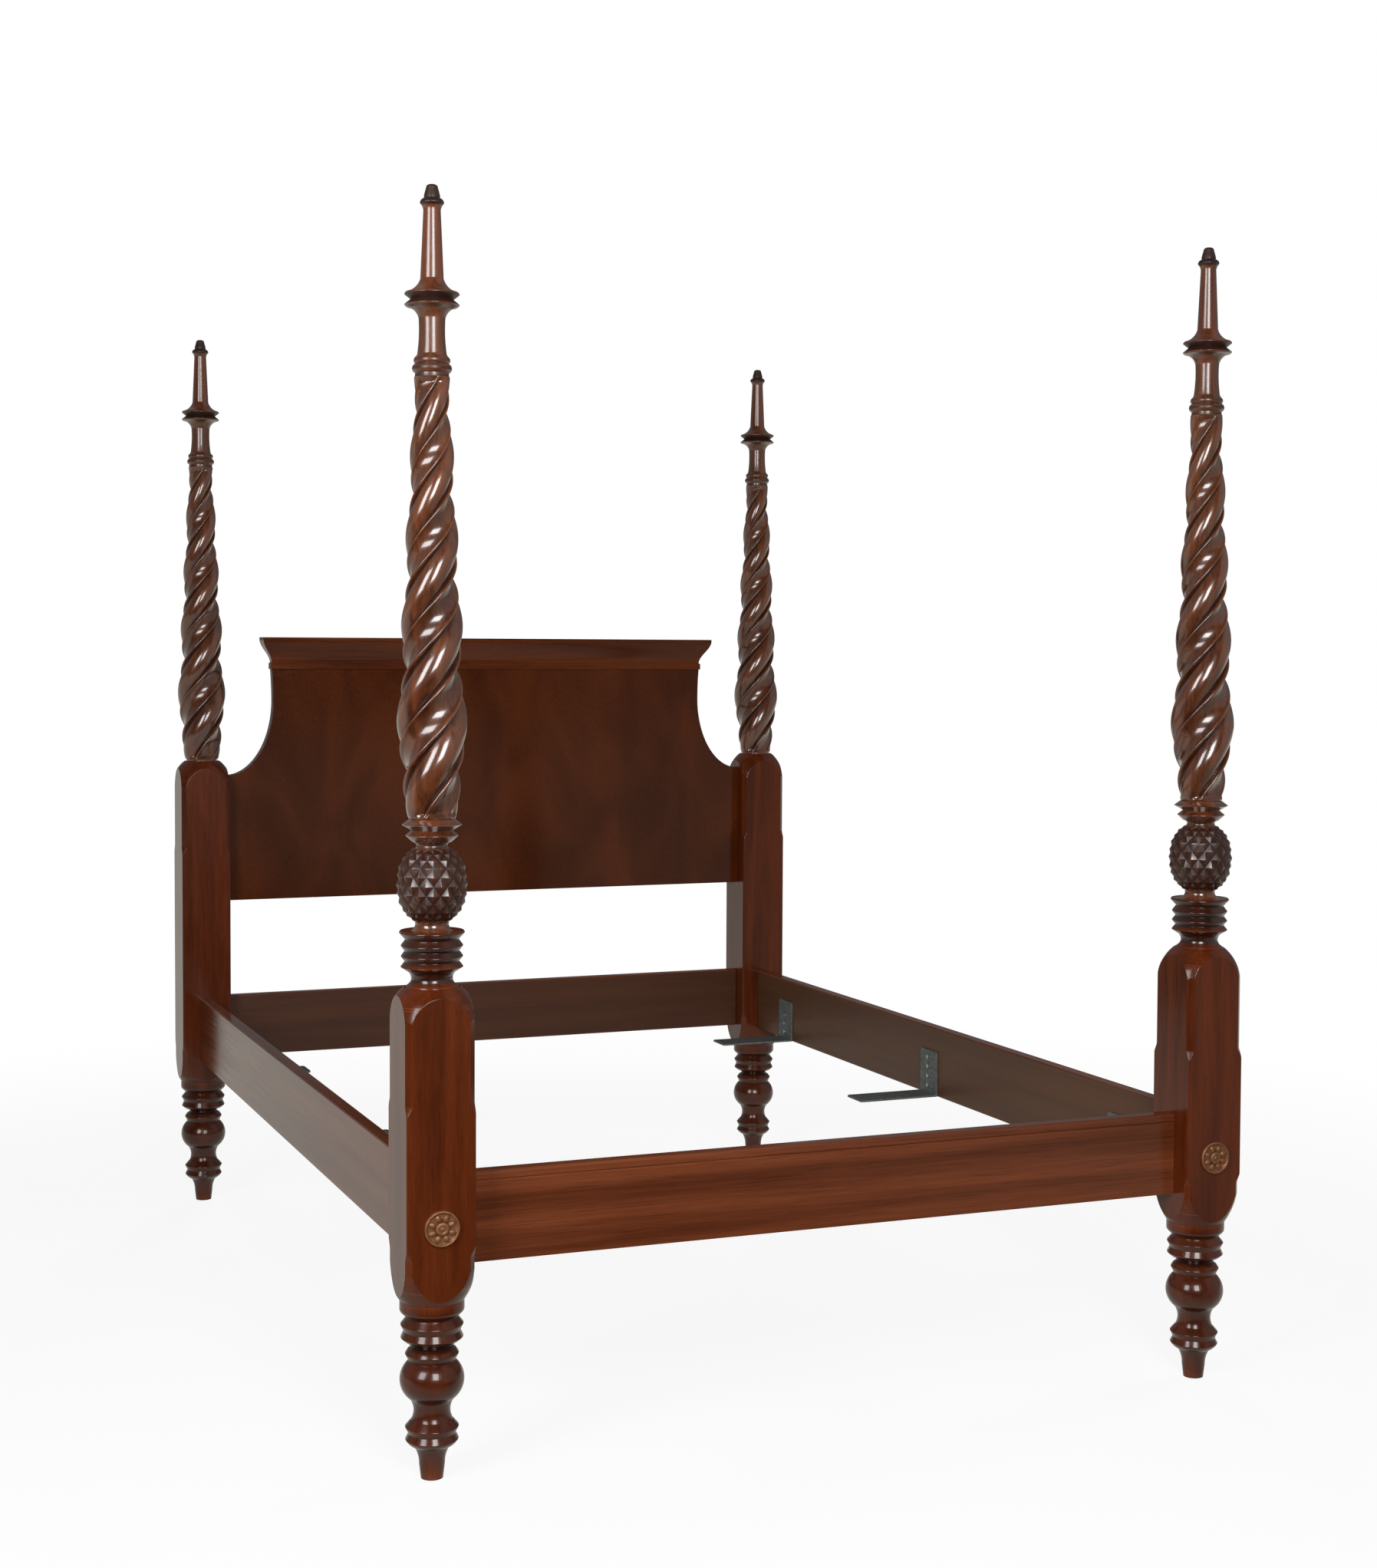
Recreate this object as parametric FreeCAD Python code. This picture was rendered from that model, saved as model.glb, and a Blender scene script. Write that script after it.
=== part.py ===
import FreeCAD, Part

import math
import os

from FreeCAD import Vector

# Poster bed for a full-size mattress. All lengths are in millimetres.
# +X runs to the right as seen from the foot of the bed, +Y from foot to head, +Z up from the floor.

# Layout of the four posts
post_spacing_x = 1430.0
post_spacing_y = 2002.0

# How far every cutting shape passes the face that it opens
cut_overrun = 2.0

# Gap between a part that lifts or turns and the face that it rests on
seat_gap = 0.2
# Clearance round a shaft that slides or turns in its hole
running_clearance = 0.05
# Clearance round a glued or bolted part in its hole or housing
joiner_clearance = 0.1

# Turned leg, from the floor to the underside of the square block
leg_height = 287.0
leg_radius = 51.5

# Square block: its corners are chamfered except beside the rails, where the chamfers stop in an S-curve
block_width = 112.5
block_chamfer = 9.5
chamfer_stop_height = 20.0
foot_block_height = 497.0
square_above_leg = 73.0
foot_square_height = 247.0
head_square_height = 488.0
lower_shoulder_height = 58.0
foot_shoulder_height = 53.0
head_shoulder_height = 61.0
shoulder_rim_radius = 44.0

# Turned neck of the foot posts, with three rings under a flat-topped flange
neck_height = 89.0
neck_radius = 52.0
# Rounded rim on the block of the head posts, whose twist stands on the block
head_neck_height = 3.0
head_neck_radius = 43.0
head_stem_height = 2.5
head_stem_radius = 35.0

# Round tenon that joins the upper post to the lower post
post_tenon_radius = 17.0
post_tenon_length = 60.0

# Carved pineapple of the foot posts, standing on a short stem
stem_height = 15.0
stem_radius = 34.0
pineapple_height = 115.0
pineapple_radius = 56.5
pineapple_scale_depth = 5.0
pineapple_scales_round = 14
pineapple_scale_rows = 12
pineapple_bulge_power = 2.4
pineapple_end_share = 0.91

# Turned collar between the pineapple and the twist
collar_height = 46.5
collar_radius = 47.6

# Rope twist: two large strands, and between them a shallow hollow with a bead along each side
twist_height = 688.5
twist_radius = 56.0
twist_foot_radius = 36.5
twist_top_radius = 27.8
twist_belly_height_share = 0.1895
twist_taper_power = 1.085
twist_bulb_power = 0.75
half_turn_at_top = 124.0
half_turn_gain = 37.0
half_turn_span_height = 550.0
strand_half_angle = 47.0
bead_angles = (51.5, 56.0, 60.0)
groove_drop_share = 0.24
bead_drop_shares = (0.10, 0.095, 0.15)
hollow_drop_share = 0.30
groove_fade_share = 0.03
front_angle = -90.0
front_strand_below_top = 44.5
twist_sections = 60

# Turned neck above the twist, up to the groove between the two knife-edge flanges
top_neck_height = 120.0
top_neck_radius = 43.3

# Finial that lifts off, and the steel pin that locates it
finial_height = 178.0
finial_radius = 43.3
finial_pin_radius = 6.0
finial_pin_length = 70.0
finial_pin_in_finial = 16.0
finial_pin_end_gap = 3.0

# Rails
rail_thickness = 27.0
side_rail_height = 150.0
end_rail_height = 145.0
rail_edge_round = 3.0
bolt_above_leg = 124.5
foot_rail_bead_height = 13.0
foot_rail_bead_round = 5.0
foot_rail_quirk_width = 3.4
foot_rail_quirk_depth = 2.4
rail_tenon_thickness = 15.0
rail_tenon_height = 105.0
rail_tenon_length = 38.0

# Headboard panel, housed in grooves in the head posts
panel_thickness = 24.0
panel_above_rail = 227.0
panel_post_height = 298.0
panel_scoop_height = 178.0
panel_scoop_depth = 111.5
panel_neck_height = 74.0
panel_neck_flare = 3.0
panel_housing_depth = 14.0
panel_tongue_thickness = 10.0
panel_tongue_height = 12.0

# Moulded crest along the top of the headboard
crest_height = 76.0
crest_projection = 25.0
crest_band_height = 15.0
crest_band_projection = 3.0
crest_fillet_height = 4.0

# Bed bolts, which draw each side rail against its posts
bolt_radius = 4.75
bolt_hole_radius = 5.5
bolt_counterbore_radius = 13.0
bolt_counterbore_depth = 24.0
bolt_head_radius = 9.2
bolt_head_height = 8.0
bolt_head_sides = 6
washer_radius = 12.5
washer_thickness = 2.5
nut_radius = 7.0
nut_length = 20.0
nut_hole_depth = 24.5
nut_from_rail_end = 40.0
bolt_past_nut = 16.0
bolt_hole_end_gap = 4.0

# Dowels that keep each side rail from turning on its bolt
dowel_radius = 5.0
dowel_length = 50.0
dowel_spacing = 90.0
dowel_end_gap = 1.5

# Turning bolt covers on the foot posts, each hung on one brass pin
cover_radius = 28.5
cover_rise = 8.0
cover_pin_offset = 19.5
cover_spot_height = 2.6
cover_petals = 8
petal_ring_radius = 17.0
petal_radius = 5.6
petal_sink_share = 0.62
cover_dish_share = 0.3
cover_pin_radius = 1.6
cover_pin_depth = 18.0
cover_pin_head_radius = 3.1
cover_pin_head_height = 2.0
cover_pin_head_gap = 0.3

# Slat brackets of angle steel along the side rails
bracket_width = 72.0
bracket_upright = 98.0
bracket_reach = 185.0
bracket_thickness = 4.0
bracket_corner_round = 6.0
bracket_from_post = 235.0
bracket_screw_count = 4
bracket_screw_spacing = 21.0
bracket_screw_low = 20.0
bracket_hole_radius = 2.6
screw_radius = 1.9
screw_length = 18.0
screw_head_radius = 4.3
screw_head_height = 2.4

# Turned outlines, bottom to top, as shares of the piece's radius and height.
# The first entry is the start, two shares make a straight line, and four make an arc through the first pair.
# A line that would end on the axis is a dome.
leg_outline_shares = (
    (0.344, 0.0),
    (0.400, 0.084),
    (0.433, 0.129, 0.553, 0.178),
    (0.709, 0.195, 0.825, 0.220),
    (0.728, 0.254),
    (0.835, 0.291),
    (0.641, 0.331),
    (0.569, 0.379, 0.700, 0.450),
    (0.996, 0.558, 0.719, 0.660),
    (0.835, 0.700),
    (0.748, 0.723),
    (0.583, 0.744),
    (0.650, 0.757),
    (0.835, 0.770),
    (0.971, 0.791),
    (0.874, 0.828),
    (0.977, 0.864),
    (0.796, 0.904),
    (0.980, 0.937),
    (1.0, 0.946),
    (1.0, 1.0),
)
neck_outline_shares = (
    (0.790, 0.0),
    (0.770, 0.028),
    (0.635, 0.185, 0.750, 0.281),
    (0.954, 0.357),
    (0.821, 0.455),
    (0.946, 0.545),
    (0.825, 0.640),
    (0.948, 0.733),
    (0.808, 0.843),
    (1.0, 0.965),
    (0.962, 1.0),
)
head_neck_outline_shares = (
    (1.0, 0.0),
    (0.960, 0.62, 0.850, 1.0),
)
stem_outline_shares = (
    (1.0, 0.0),
    (0.790, 0.500, 0.810, 1.0),
)
collar_outline_shares = (
    (0.570, 0.0),
    (0.513, 0.075, 0.565, 0.175),
    (0.660, 0.215),
    (0.885, 0.430),
    (0.685, 0.602),
    (1.005, 0.795),
    (0.735, 1.0),
)
top_neck_outline_shares = (
    (0.619, 0.0),
    (0.605, 0.050),
    (0.716, 0.117, 0.607, 0.171),
    (0.656, 0.225, 0.573, 0.266),
    (0.531, 0.296),
    (0.472, 0.690, 0.481, 0.758),
    (0.560, 0.825, 0.940, 0.908),
    (1.0, 0.933),
    (0.770, 1.0),
)
finial_outline_shares = (
    (0.770, 0.0),
    (1.0, 0.045),
    (0.947, 0.062),
    (0.545, 0.122, 0.420, 0.182),
    (0.314, 0.770),
    (0.340, 0.800, 0.436, 0.834),
    (0.400, 0.860, 0.275, 0.878),
    (0.250, 0.897),
    (0.0, 1.0),
)
cover_outline_shares = (
    (1.0, 0.0),
    (1.0, 0.32),
    (0.930, 0.66, 0.850, 0.36),
    (0.380, cover_dish_share),
    (0.0, 1.0),
)
shoulder_middle_share = 0.42
shoulder_middle_radius_share = 0.654
lower_shoulder_middle_share = 0.38
lower_shoulder_middle_radius_share = 0.554

# Places that follow from the sizes above
foot_axis_y = -(post_spacing_y - cover_rise - seat_gap) / 2
head_axis_y = foot_axis_y + post_spacing_y
left_axis_x = -post_spacing_x / 2
right_axis_x = post_spacing_x / 2
bolt_z = leg_height + bolt_above_leg
rail_top_z = bolt_z + side_rail_height / 2
side_rail_low_z = bolt_z - side_rail_height / 2
end_rail_low_z = rail_top_z - end_rail_height
square_low_z = leg_height + square_above_leg
foot_block_top_z = leg_height + foot_block_height
twist_low_z = foot_block_top_z + neck_height + stem_height + pineapple_height + collar_height
head_block_top_z = twist_low_z - head_stem_height - head_neck_height
twist_top_z = twist_low_z + twist_height
finial_low_z = twist_top_z + top_neck_height
panel_low_z = rail_top_z + panel_above_rail
crest_low_z = panel_low_z + panel_post_height + panel_scoop_height + panel_neck_height
inner_face_x = post_spacing_x / 2 - block_width / 2
side_rail_length = post_spacing_y - block_width
dowel_heights = (bolt_z - dowel_spacing / 2, bolt_z + dowel_spacing / 2)
bracket_places_y = (
    foot_axis_y + bracket_from_post,
    (foot_axis_y + head_axis_y) / 2,
    head_axis_y - bracket_from_post,
)


def scaled_outline(outline_shares, radius, height, base_z):
    """Edges of an outline in the XZ plane, from its shares of a radius and a height."""
    def place(radius_share, height_share):
        return Vector(radius_share * radius, 0, base_z + height_share * height)

    start = place(*outline_shares[0])
    edges = []
    for step in outline_shares[1:]:
        end = place(*step[-2:])
        if len(step) == 4:
            edges.append(Part.Arc(start, place(*step[:2]), end).toShape())
        elif end.x == 0:
            edges.append(dome_edge(start, end))
        else:
            edges.append(Part.LineSegment(start, end).toShape())
        start = end
    return edges


def turned(edges):
    """Solid turned about Z from outline edges that run upwards in the XZ plane."""
    low = edges[0].valueAt(edges[0].FirstParameter)
    high = edges[-1].valueAt(edges[-1].LastParameter)
    axis_low = Vector(0, 0, low.z)
    axis_high = Vector(0, 0, high.z)
    closing = [Part.LineSegment(axis_high, axis_low).toShape(), Part.LineSegment(axis_low, low).toShape()]
    if high.x > 0:
        closing.insert(0, Part.LineSegment(high, axis_high).toShape())
    face = Part.Face(Part.Wire(edges + closing))
    return face.revolve(Vector(0, 0, 0), Vector(0, 0, 1), 360)


def turning(outline_shares, radius, height, base_z):
    """Solid turned about Z from a table of shares."""
    return turned(scaled_outline(outline_shares, radius, height, base_z))


def box(low, high):
    """Box between two corners."""
    size = high - low
    return Part.makeBox(size.x, size.y, size.z, low)


def rod(radius, start, end):
    """Round rod from one point to another."""
    run = end - start
    return Part.makeCylinder(radius, run.Length, start, run)


def polygon_edges(points):
    """Straight edges that join points in order."""
    return [Part.LineSegment(a, b).toShape() for a, b in zip(points, points[1:])]


def fused(solids):
    """One clean solid from solids that touch."""
    return solids[0].fuse(solids[1:]).removeSplitter().Solids[0]


def smooth_edge(points):
    """Bezier edge from the first point to the last, drawn towards the points between them."""
    curve = Part.BezierCurve()
    curve.setPoles(points)
    return curve.toShape()


def upright_arc(foot, tip):
    """Arc in the XZ plane that rises or falls upright from its foot and bends over to its tip."""
    run = tip - foot
    radius = (run.x ** 2 + run.z ** 2) / (2 * run.x)
    half_bend = math.acos(1 - run.x / radius) / 2
    rise = math.copysign(radius * math.sin(half_bend), run.z)
    middle = foot + Vector(radius * (1 - math.cos(half_bend)), 0, rise)
    return Part.Arc(foot, middle, tip).toShape()


def ogee_edges(start, end):
    """S-curve of two arcs in the XZ plane that stands upright at both ends."""
    middle = (start + end) / 2
    return [upright_arc(start, middle), upright_arc(end, middle)]


def dome_edge(start, end):
    """Quarter curve in the XZ plane that rises upright from start and lies level at end."""
    return smooth_edge([start, Vector(start.x, 0, end.z), end])


def chamfer_outline(low_z, high_z, square_high_z):
    """Closed outline across two opposite corners of a block, in the XZ plane: chamfer, square and chamfer."""
    chamfer = (block_width - block_chamfer) / math.sqrt(2)
    clear = block_width / math.sqrt(2) + cut_overrun
    stop_low_z = square_low_z + chamfer_stop_height
    stop_high_z = square_high_z - chamfer_stop_height
    right = polygon_edges([Vector(chamfer, 0, low_z), Vector(chamfer, 0, square_low_z)])
    right += ogee_edges(Vector(chamfer, 0, square_low_z), Vector(clear, 0, stop_low_z))
    right += polygon_edges([Vector(clear, 0, stop_low_z), Vector(clear, 0, stop_high_z)])
    right += ogee_edges(Vector(clear, 0, stop_high_z), Vector(chamfer, 0, square_high_z))
    right += polygon_edges([Vector(chamfer, 0, square_high_z), Vector(chamfer, 0, high_z)])
    left = [edge.mirror(Vector(0, 0, 0), Vector(1, 0, 0)) for edge in right]
    low = polygon_edges([Vector(-chamfer, 0, low_z), Vector(chamfer, 0, low_z)])
    high = polygon_edges([Vector(-chamfer, 0, high_z), Vector(chamfer, 0, high_z)])
    return Part.Wire(Part.__sortEdges__(right + left + low + high))


def block_solid(high_z, square_high_z, shoulder_height):
    """Square block with stopped chamfers on its four corners and turned shoulders at both ends."""
    half = block_width / 2
    block = box(Vector(-half, -half, leg_height), Vector(half, half, high_z))
    reach = 2 * block_width
    slab = Part.Face(chamfer_outline(leg_height, high_z, square_high_z)).extrude(Vector(0, reach, 0))
    slab.translate(Vector(0, -reach / 2, 0))
    for corner_angle in (45, 135):
        across = slab.copy()
        across.rotate(Vector(0, 0, 0), Vector(0, 0, 1), corner_angle)
        block = block.common(across)
    corner_radius = math.hypot(half, half - block_chamfer)
    clear_radius = half * math.sqrt(2) + cut_overrun
    lower_top_z = leg_height + lower_shoulder_height
    upper_low_z = high_z - shoulder_height
    lower_start = Vector(leg_radius, 0, leg_height)
    lower_end = Vector(corner_radius, 0, lower_top_z)
    lower_middle = Vector(
        leg_radius + lower_shoulder_middle_radius_share * (corner_radius - leg_radius),
        0,
        leg_height + lower_shoulder_middle_share * lower_shoulder_height,
    )
    upper_start = Vector(corner_radius, 0, upper_low_z)
    upper_end = Vector(shoulder_rim_radius, 0, high_z)
    upper_middle = Vector(
        shoulder_rim_radius + shoulder_middle_radius_share * (corner_radius - shoulder_rim_radius),
        0,
        high_z - shoulder_middle_share * shoulder_height,
    )
    edges = [Part.Arc(lower_start, lower_middle, lower_end).toShape()]
    edges += polygon_edges(
        [lower_end, Vector(clear_radius, 0, lower_top_z), Vector(clear_radius, 0, upper_low_z), upper_start]
    )
    edges.append(Part.Arc(upper_start, upper_middle, upper_end).toShape())
    return block.common(turned(edges))


def lower_post(is_foot, inward_x, inward_y):
    """Leg, block and neck of one post about its own axis, cut for its rails, bolt, dowels and tenon."""
    leg = turning(leg_outline_shares, leg_radius, leg_height, 0)
    if is_foot:
        block = block_solid(foot_block_top_z, square_low_z + foot_square_height, foot_shoulder_height)
        block_top_z = foot_block_top_z
        neck = turning(neck_outline_shares, neck_radius, neck_height, block_top_z)
        top_z = block_top_z + neck_height
    else:
        block = block_solid(head_block_top_z, square_low_z + head_square_height, head_shoulder_height)
        block_top_z = head_block_top_z
        neck = turning(head_neck_outline_shares, head_neck_radius, head_neck_height, block_top_z)
        top_z = block_top_z + head_neck_height
    post = fused([leg, block, neck])
    half = block_width / 2

    bore_low = Vector(0, 0, top_z - post_tenon_length - joiner_clearance)
    cuts = [rod(post_tenon_radius + joiner_clearance, bore_low, Vector(0, 0, top_z + cut_overrun))]

    bolt_out = Vector(0, -inward_y * (half + cut_overrun), bolt_z)
    bolt_in = Vector(0, inward_y * (half + cut_overrun), bolt_z)
    counterbore_in = Vector(0, -inward_y * (half - bolt_counterbore_depth), bolt_z)
    cuts.append(rod(bolt_hole_radius, bolt_out, bolt_in))
    cuts.append(rod(bolt_counterbore_radius, bolt_out, counterbore_in))

    for height in dowel_heights:
        dowel_in = half - dowel_length / 2 - dowel_end_gap
        start = Vector(0, inward_y * dowel_in, height)
        end = Vector(0, inward_y * (half + cut_overrun), height)
        cuts.append(rod(dowel_radius + joiner_clearance, start, end))

    tenon_mid_z = rail_top_z - end_rail_height / 2
    mortise = centred_box(
        Vector(half - rail_tenon_length - joiner_clearance, 0, tenon_mid_z),
        Vector(half + cut_overrun, 0, tenon_mid_z),
        rail_tenon_thickness + 2 * joiner_clearance,
        rail_tenon_height + 2 * joiner_clearance,
    )
    if not is_foot:
        panel_mid_z = panel_low_z + panel_post_height / 2
        groove = centred_box(
            Vector(half - panel_housing_depth - joiner_clearance, 0, panel_mid_z),
            Vector(half + cut_overrun, 0, panel_mid_z),
            panel_thickness + 2 * joiner_clearance,
            panel_post_height + 2 * joiner_clearance,
        )
        mortise = Part.makeCompound([mortise, groove])
    if inward_x < 0:
        mortise = mortise.mirror(Vector(0, 0, 0), Vector(1, 0, 0))
    cuts.append(mortise)

    if is_foot:
        pin_z = bolt_z + cover_pin_offset
        pin_in = Vector(0, -half + cover_pin_depth, pin_z)
        cuts.append(rod(cover_pin_radius, Vector(0, -half - cut_overrun, pin_z), pin_in))
    return post.cut(cuts).Solids[0]


def centred_box(start, end, width_y, height_z):
    """Box along X from start to end, centred on that line in Y and Z."""
    half = Vector(0, width_y / 2, height_z / 2)
    return box(start - half, end + half)


def twist_radius_at(z):
    """Outer radius of the rope twist: a long taper upwards and a round bulb downwards."""
    belly_z = twist_low_z + twist_belly_height_share * twist_height
    if z >= belly_z:
        rise = (z - belly_z) / (twist_top_z - belly_z)
        return twist_radius - (twist_radius - twist_top_radius) * rise ** twist_taper_power
    drop = (belly_z - z) / (belly_z - twist_low_z)
    fullness = max(0.0, 1 - drop ** 2) ** twist_bulb_power
    return twist_foot_radius + (twist_radius - twist_foot_radius) * fullness


def twist_angle_at(z):
    """Turn of the strands in radians: each half turn grows taller towards the foot of the twist."""
    rate = math.sqrt(half_turn_gain / half_turn_at_top)

    def turn(height):
        drop = (twist_top_z - height) / half_turn_span_height
        scale = half_turn_span_height / math.sqrt(half_turn_at_top * half_turn_gain)
        return -math.pi * scale * math.atan(rate * drop)

    return turn(z) - turn(twist_top_z - front_strand_below_top) + math.radians(front_angle)


def groove_strength_at(z):
    """How fully the grooves are cut: they run out to a plain round at both ends of the twist."""
    rise = (z - twist_low_z) / twist_height
    fade = min(1.0, rise / groove_fade_share, (1 - rise) / groove_fade_share)
    return fade * fade * (3 - 2 * fade)


def twist_section(z):
    """Section of the twist: two round strands, and between them hollows edged with faceted beads."""
    radius = twist_radius_at(z)
    strength = groove_strength_at(z)
    turn = twist_angle_at(z)

    def place(drop_share, degrees):
        distance = radius * (1 - drop_share * strength)
        angle = turn + math.radians(degrees)
        return Vector(distance * math.cos(angle), distance * math.sin(angle), z)

    bead = [(groove_drop_share, strand_half_angle)] + list(zip(bead_drop_shares, bead_angles))
    edges = []
    for side in (0, 180):
        start = place(groove_drop_share, side - strand_half_angle)
        first_bead = [place(drop, side + angle) for drop, angle in bead]
        second_bead = [place(drop, side + 180 - angle) for drop, angle in reversed(bead)]
        edges.append(Part.Arc(start, place(0, side), first_bead[0]).toShape())
        edges += polygon_edges(first_bead)
        edges.append(Part.Arc(first_bead[-1], place(hollow_drop_share, side + 90), second_bead[0]).toShape())
        edges += polygon_edges(second_bead)
    return Part.Wire(edges)


def twist_solid():
    """Rope twist lofted through turning, tapering sections, closer together where the grooves run out."""
    step = twist_height / twist_sections
    heights = [twist_low_z + step * index for index in range(twist_sections + 1)]
    heights += [twist_low_z + step / 2, twist_top_z - step / 2]
    return Part.makeLoft([twist_section(z) for z in sorted(heights)], True, False)


def pineapple_radius_at(height_share):
    """Radius of the pineapple's body at a share of its half height, from -1 to 1."""
    fall = abs(pineapple_end_share * height_share) ** pineapple_bulge_power
    return pineapple_radius * (1 - fall) ** (1 / pineapple_bulge_power)


def pineapple_solid(base_z):
    """Pineapple of diamond scales: each scale is a low pyramid between four points of the grooves."""
    mid_z = base_z + pineapple_height / 2
    count = pineapple_scales_round
    levels = []
    for row in range(pineapple_scale_rows + 1):
        level_share = math.sin((row / pineapple_scale_rows - 1 / 2) * math.pi)
        radius = pineapple_radius_at(level_share) - pineapple_scale_depth
        if row in (0, pineapple_scale_rows):
            radius = pineapple_radius_at(level_share)
        levels.append((radius, mid_z + level_share * pineapple_height / 2, level_share))

    def groove_point(row, index):
        radius, z, _ = levels[row]
        angle = 2 * math.pi * (index + (row % 2) / 2) / count
        return Vector(radius * math.cos(angle), radius * math.sin(angle), z)

    def scale_top(row, index):
        level_share = levels[row][2]
        radius = pineapple_radius_at(level_share)
        angle = 2 * math.pi * (index + 1 / 2 + (row % 2) / 2) / count
        return Vector(radius * math.cos(angle), radius * math.sin(angle), levels[row][1])

    faces = []

    def add_face(points):
        faces.append(Part.Face(Part.makePolygon(points + points[:1])))

    for row in range(1, pineapple_scale_rows):
        for index in range(count):
            left = groove_point(row, index)
            right = groove_point(row, index + 1)
            between = index + row % 2
            high = groove_point(row + 1, between)
            low = groove_point(row - 1, between)
            top = scale_top(row, index)
            for first, second in ((low, right), (right, high), (high, left), (left, low)):
                add_face([first, second, top])
    for end_row, next_row in ((0, 1), (pineapple_scale_rows, pineapple_scale_rows - 1)):
        ring = [groove_point(end_row, index) for index in range(count)]
        add_face(ring)
        for index in range(count):
            left = groove_point(end_row, index)
            right = groove_point(end_row, index + 1)
            add_face([left, right, groove_point(next_row, index + end_row % 2)])
    shell = Part.Shell(Part.makeShell(faces).Faces)
    solid = Part.Solid(shell)
    if solid.Volume < 0:
        solid.reverse()
    return solid


def upper_post(is_foot):
    """Twisted upper post about its own axis, with its tenon below and the finial's bore above."""
    pieces = [twist_solid(), turning(top_neck_outline_shares, top_neck_radius, top_neck_height, twist_top_z)]
    if is_foot:
        base_z = foot_block_top_z + neck_height
        pineapple_z = base_z + stem_height
        pieces.append(turning(stem_outline_shares, stem_radius, stem_height, base_z))
        pieces.append(pineapple_solid(pineapple_z))
        collar_z = pineapple_z + pineapple_height
        pieces.append(turning(collar_outline_shares, collar_radius, collar_height, collar_z))
    else:
        base_z = head_block_top_z + head_neck_height
        pieces.append(rod(head_stem_radius, Vector(0, 0, base_z), Vector(0, 0, twist_low_z)))
    pieces.append(rod(post_tenon_radius, Vector(0, 0, base_z - post_tenon_length), Vector(0, 0, base_z)))
    post = fused(pieces)
    pin_depth = finial_pin_length - finial_pin_in_finial + finial_pin_end_gap
    bore = rod(
        finial_pin_radius + running_clearance,
        Vector(0, 0, finial_low_z - pin_depth),
        Vector(0, 0, finial_low_z + cut_overrun),
    )
    return post.cut(bore).Solids[0]


def finial():
    """Tapering finial with its cap, bored for its pin."""
    body = turning(finial_outline_shares, finial_radius, finial_height, finial_low_z + seat_gap)
    low = Vector(0, 0, finial_low_z + seat_gap - cut_overrun)
    high = Vector(0, 0, finial_low_z + finial_pin_in_finial)
    return body.cut(rod(finial_pin_radius, low, high)).Solids[0]


def finial_pin():
    """Steel pin, fixed in the finial, that drops into the post's bore."""
    high = Vector(0, 0, finial_low_z + finial_pin_in_finial)
    return rod(finial_pin_radius, high - Vector(0, 0, finial_pin_length), high)


def rounded_section(width, height, round_radius, centre):
    """Rectangle with rounded corners in the XZ plane."""
    across = Vector(width / 2, 0, 0)
    up = Vector(0, 0, height / 2)
    inset_x = Vector(round_radius, 0, 0)
    inset_z = Vector(0, 0, round_radius)
    diagonal = round_radius * (1 - 1 / math.sqrt(2))
    edges = []
    corners = ((1, -1), (1, 1), (-1, 1), (-1, -1))
    ends = []
    for sign_x, sign_z in corners:
        corner = centre + across * sign_x + up * sign_z
        on_side = corner - inset_z * sign_z
        on_end = corner - inset_x * sign_x
        middle = corner - Vector(diagonal * sign_x, 0, diagonal * sign_z)
        ends.append((on_end, middle, on_side) if sign_x * sign_z < 0 else (on_side, middle, on_end))
    for index, (start, middle, end) in enumerate(ends):
        edges.append(Part.Arc(start, middle, end).toShape())
        edges.append(Part.LineSegment(end, ends[(index + 1) % len(ends)][0]).toShape())
    return Part.Face(Part.Wire(edges))


def side_rail(axis_x, inward_x):
    """Side rail with its bolt holes, barrel-nut holes, dowel holes and screw holes."""
    low_y = foot_axis_y + block_width / 2
    high_y = head_axis_y - block_width / 2
    section = rounded_section(rail_thickness, side_rail_height, rail_edge_round, Vector(axis_x, 0, bolt_z))
    rail = section.extrude(Vector(0, side_rail_length, 0))
    rail.translate(Vector(0, low_y, 0))
    cuts = []
    inner_x = axis_x + inward_x * rail_thickness / 2
    for end_y, into in ((low_y, 1), (high_y, -1)):
        outside = end_y - into * cut_overrun
        bolt_end = end_y + into * (nut_from_rail_end + bolt_past_nut + bolt_hole_end_gap)
        cuts.append(rod(bolt_hole_radius, Vector(axis_x, outside, bolt_z), Vector(axis_x, bolt_end, bolt_z)))
        nut_y = end_y + into * nut_from_rail_end
        nut_mouth = Vector(inner_x + inward_x * cut_overrun, nut_y, bolt_z)
        nut_floor = Vector(inner_x - inward_x * nut_hole_depth, nut_y, bolt_z)
        cuts.append(rod(nut_radius + joiner_clearance, nut_mouth, nut_floor))
        dowel_end = end_y + into * (dowel_length / 2 + dowel_end_gap)
        for height in dowel_heights:
            start = Vector(axis_x, outside, height)
            cuts.append(rod(dowel_radius + joiner_clearance, start, Vector(axis_x, dowel_end, height)))
    for start, end in screw_lines(axis_x, inward_x):
        cuts.append(rod(screw_radius, start, end))
    return rail.cut(cuts).Solids[0]


def end_rail_tenons(axis_y):
    """Pair of tenons, with a shared core, that enter the posts at both ends of an end rail."""
    mid_z = rail_top_z - end_rail_height / 2
    reach = inner_face_x + rail_tenon_length
    start = Vector(-reach, axis_y, mid_z)
    return centred_box(start, Vector(reach, axis_y, mid_z), rail_tenon_thickness, rail_tenon_height)


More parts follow.
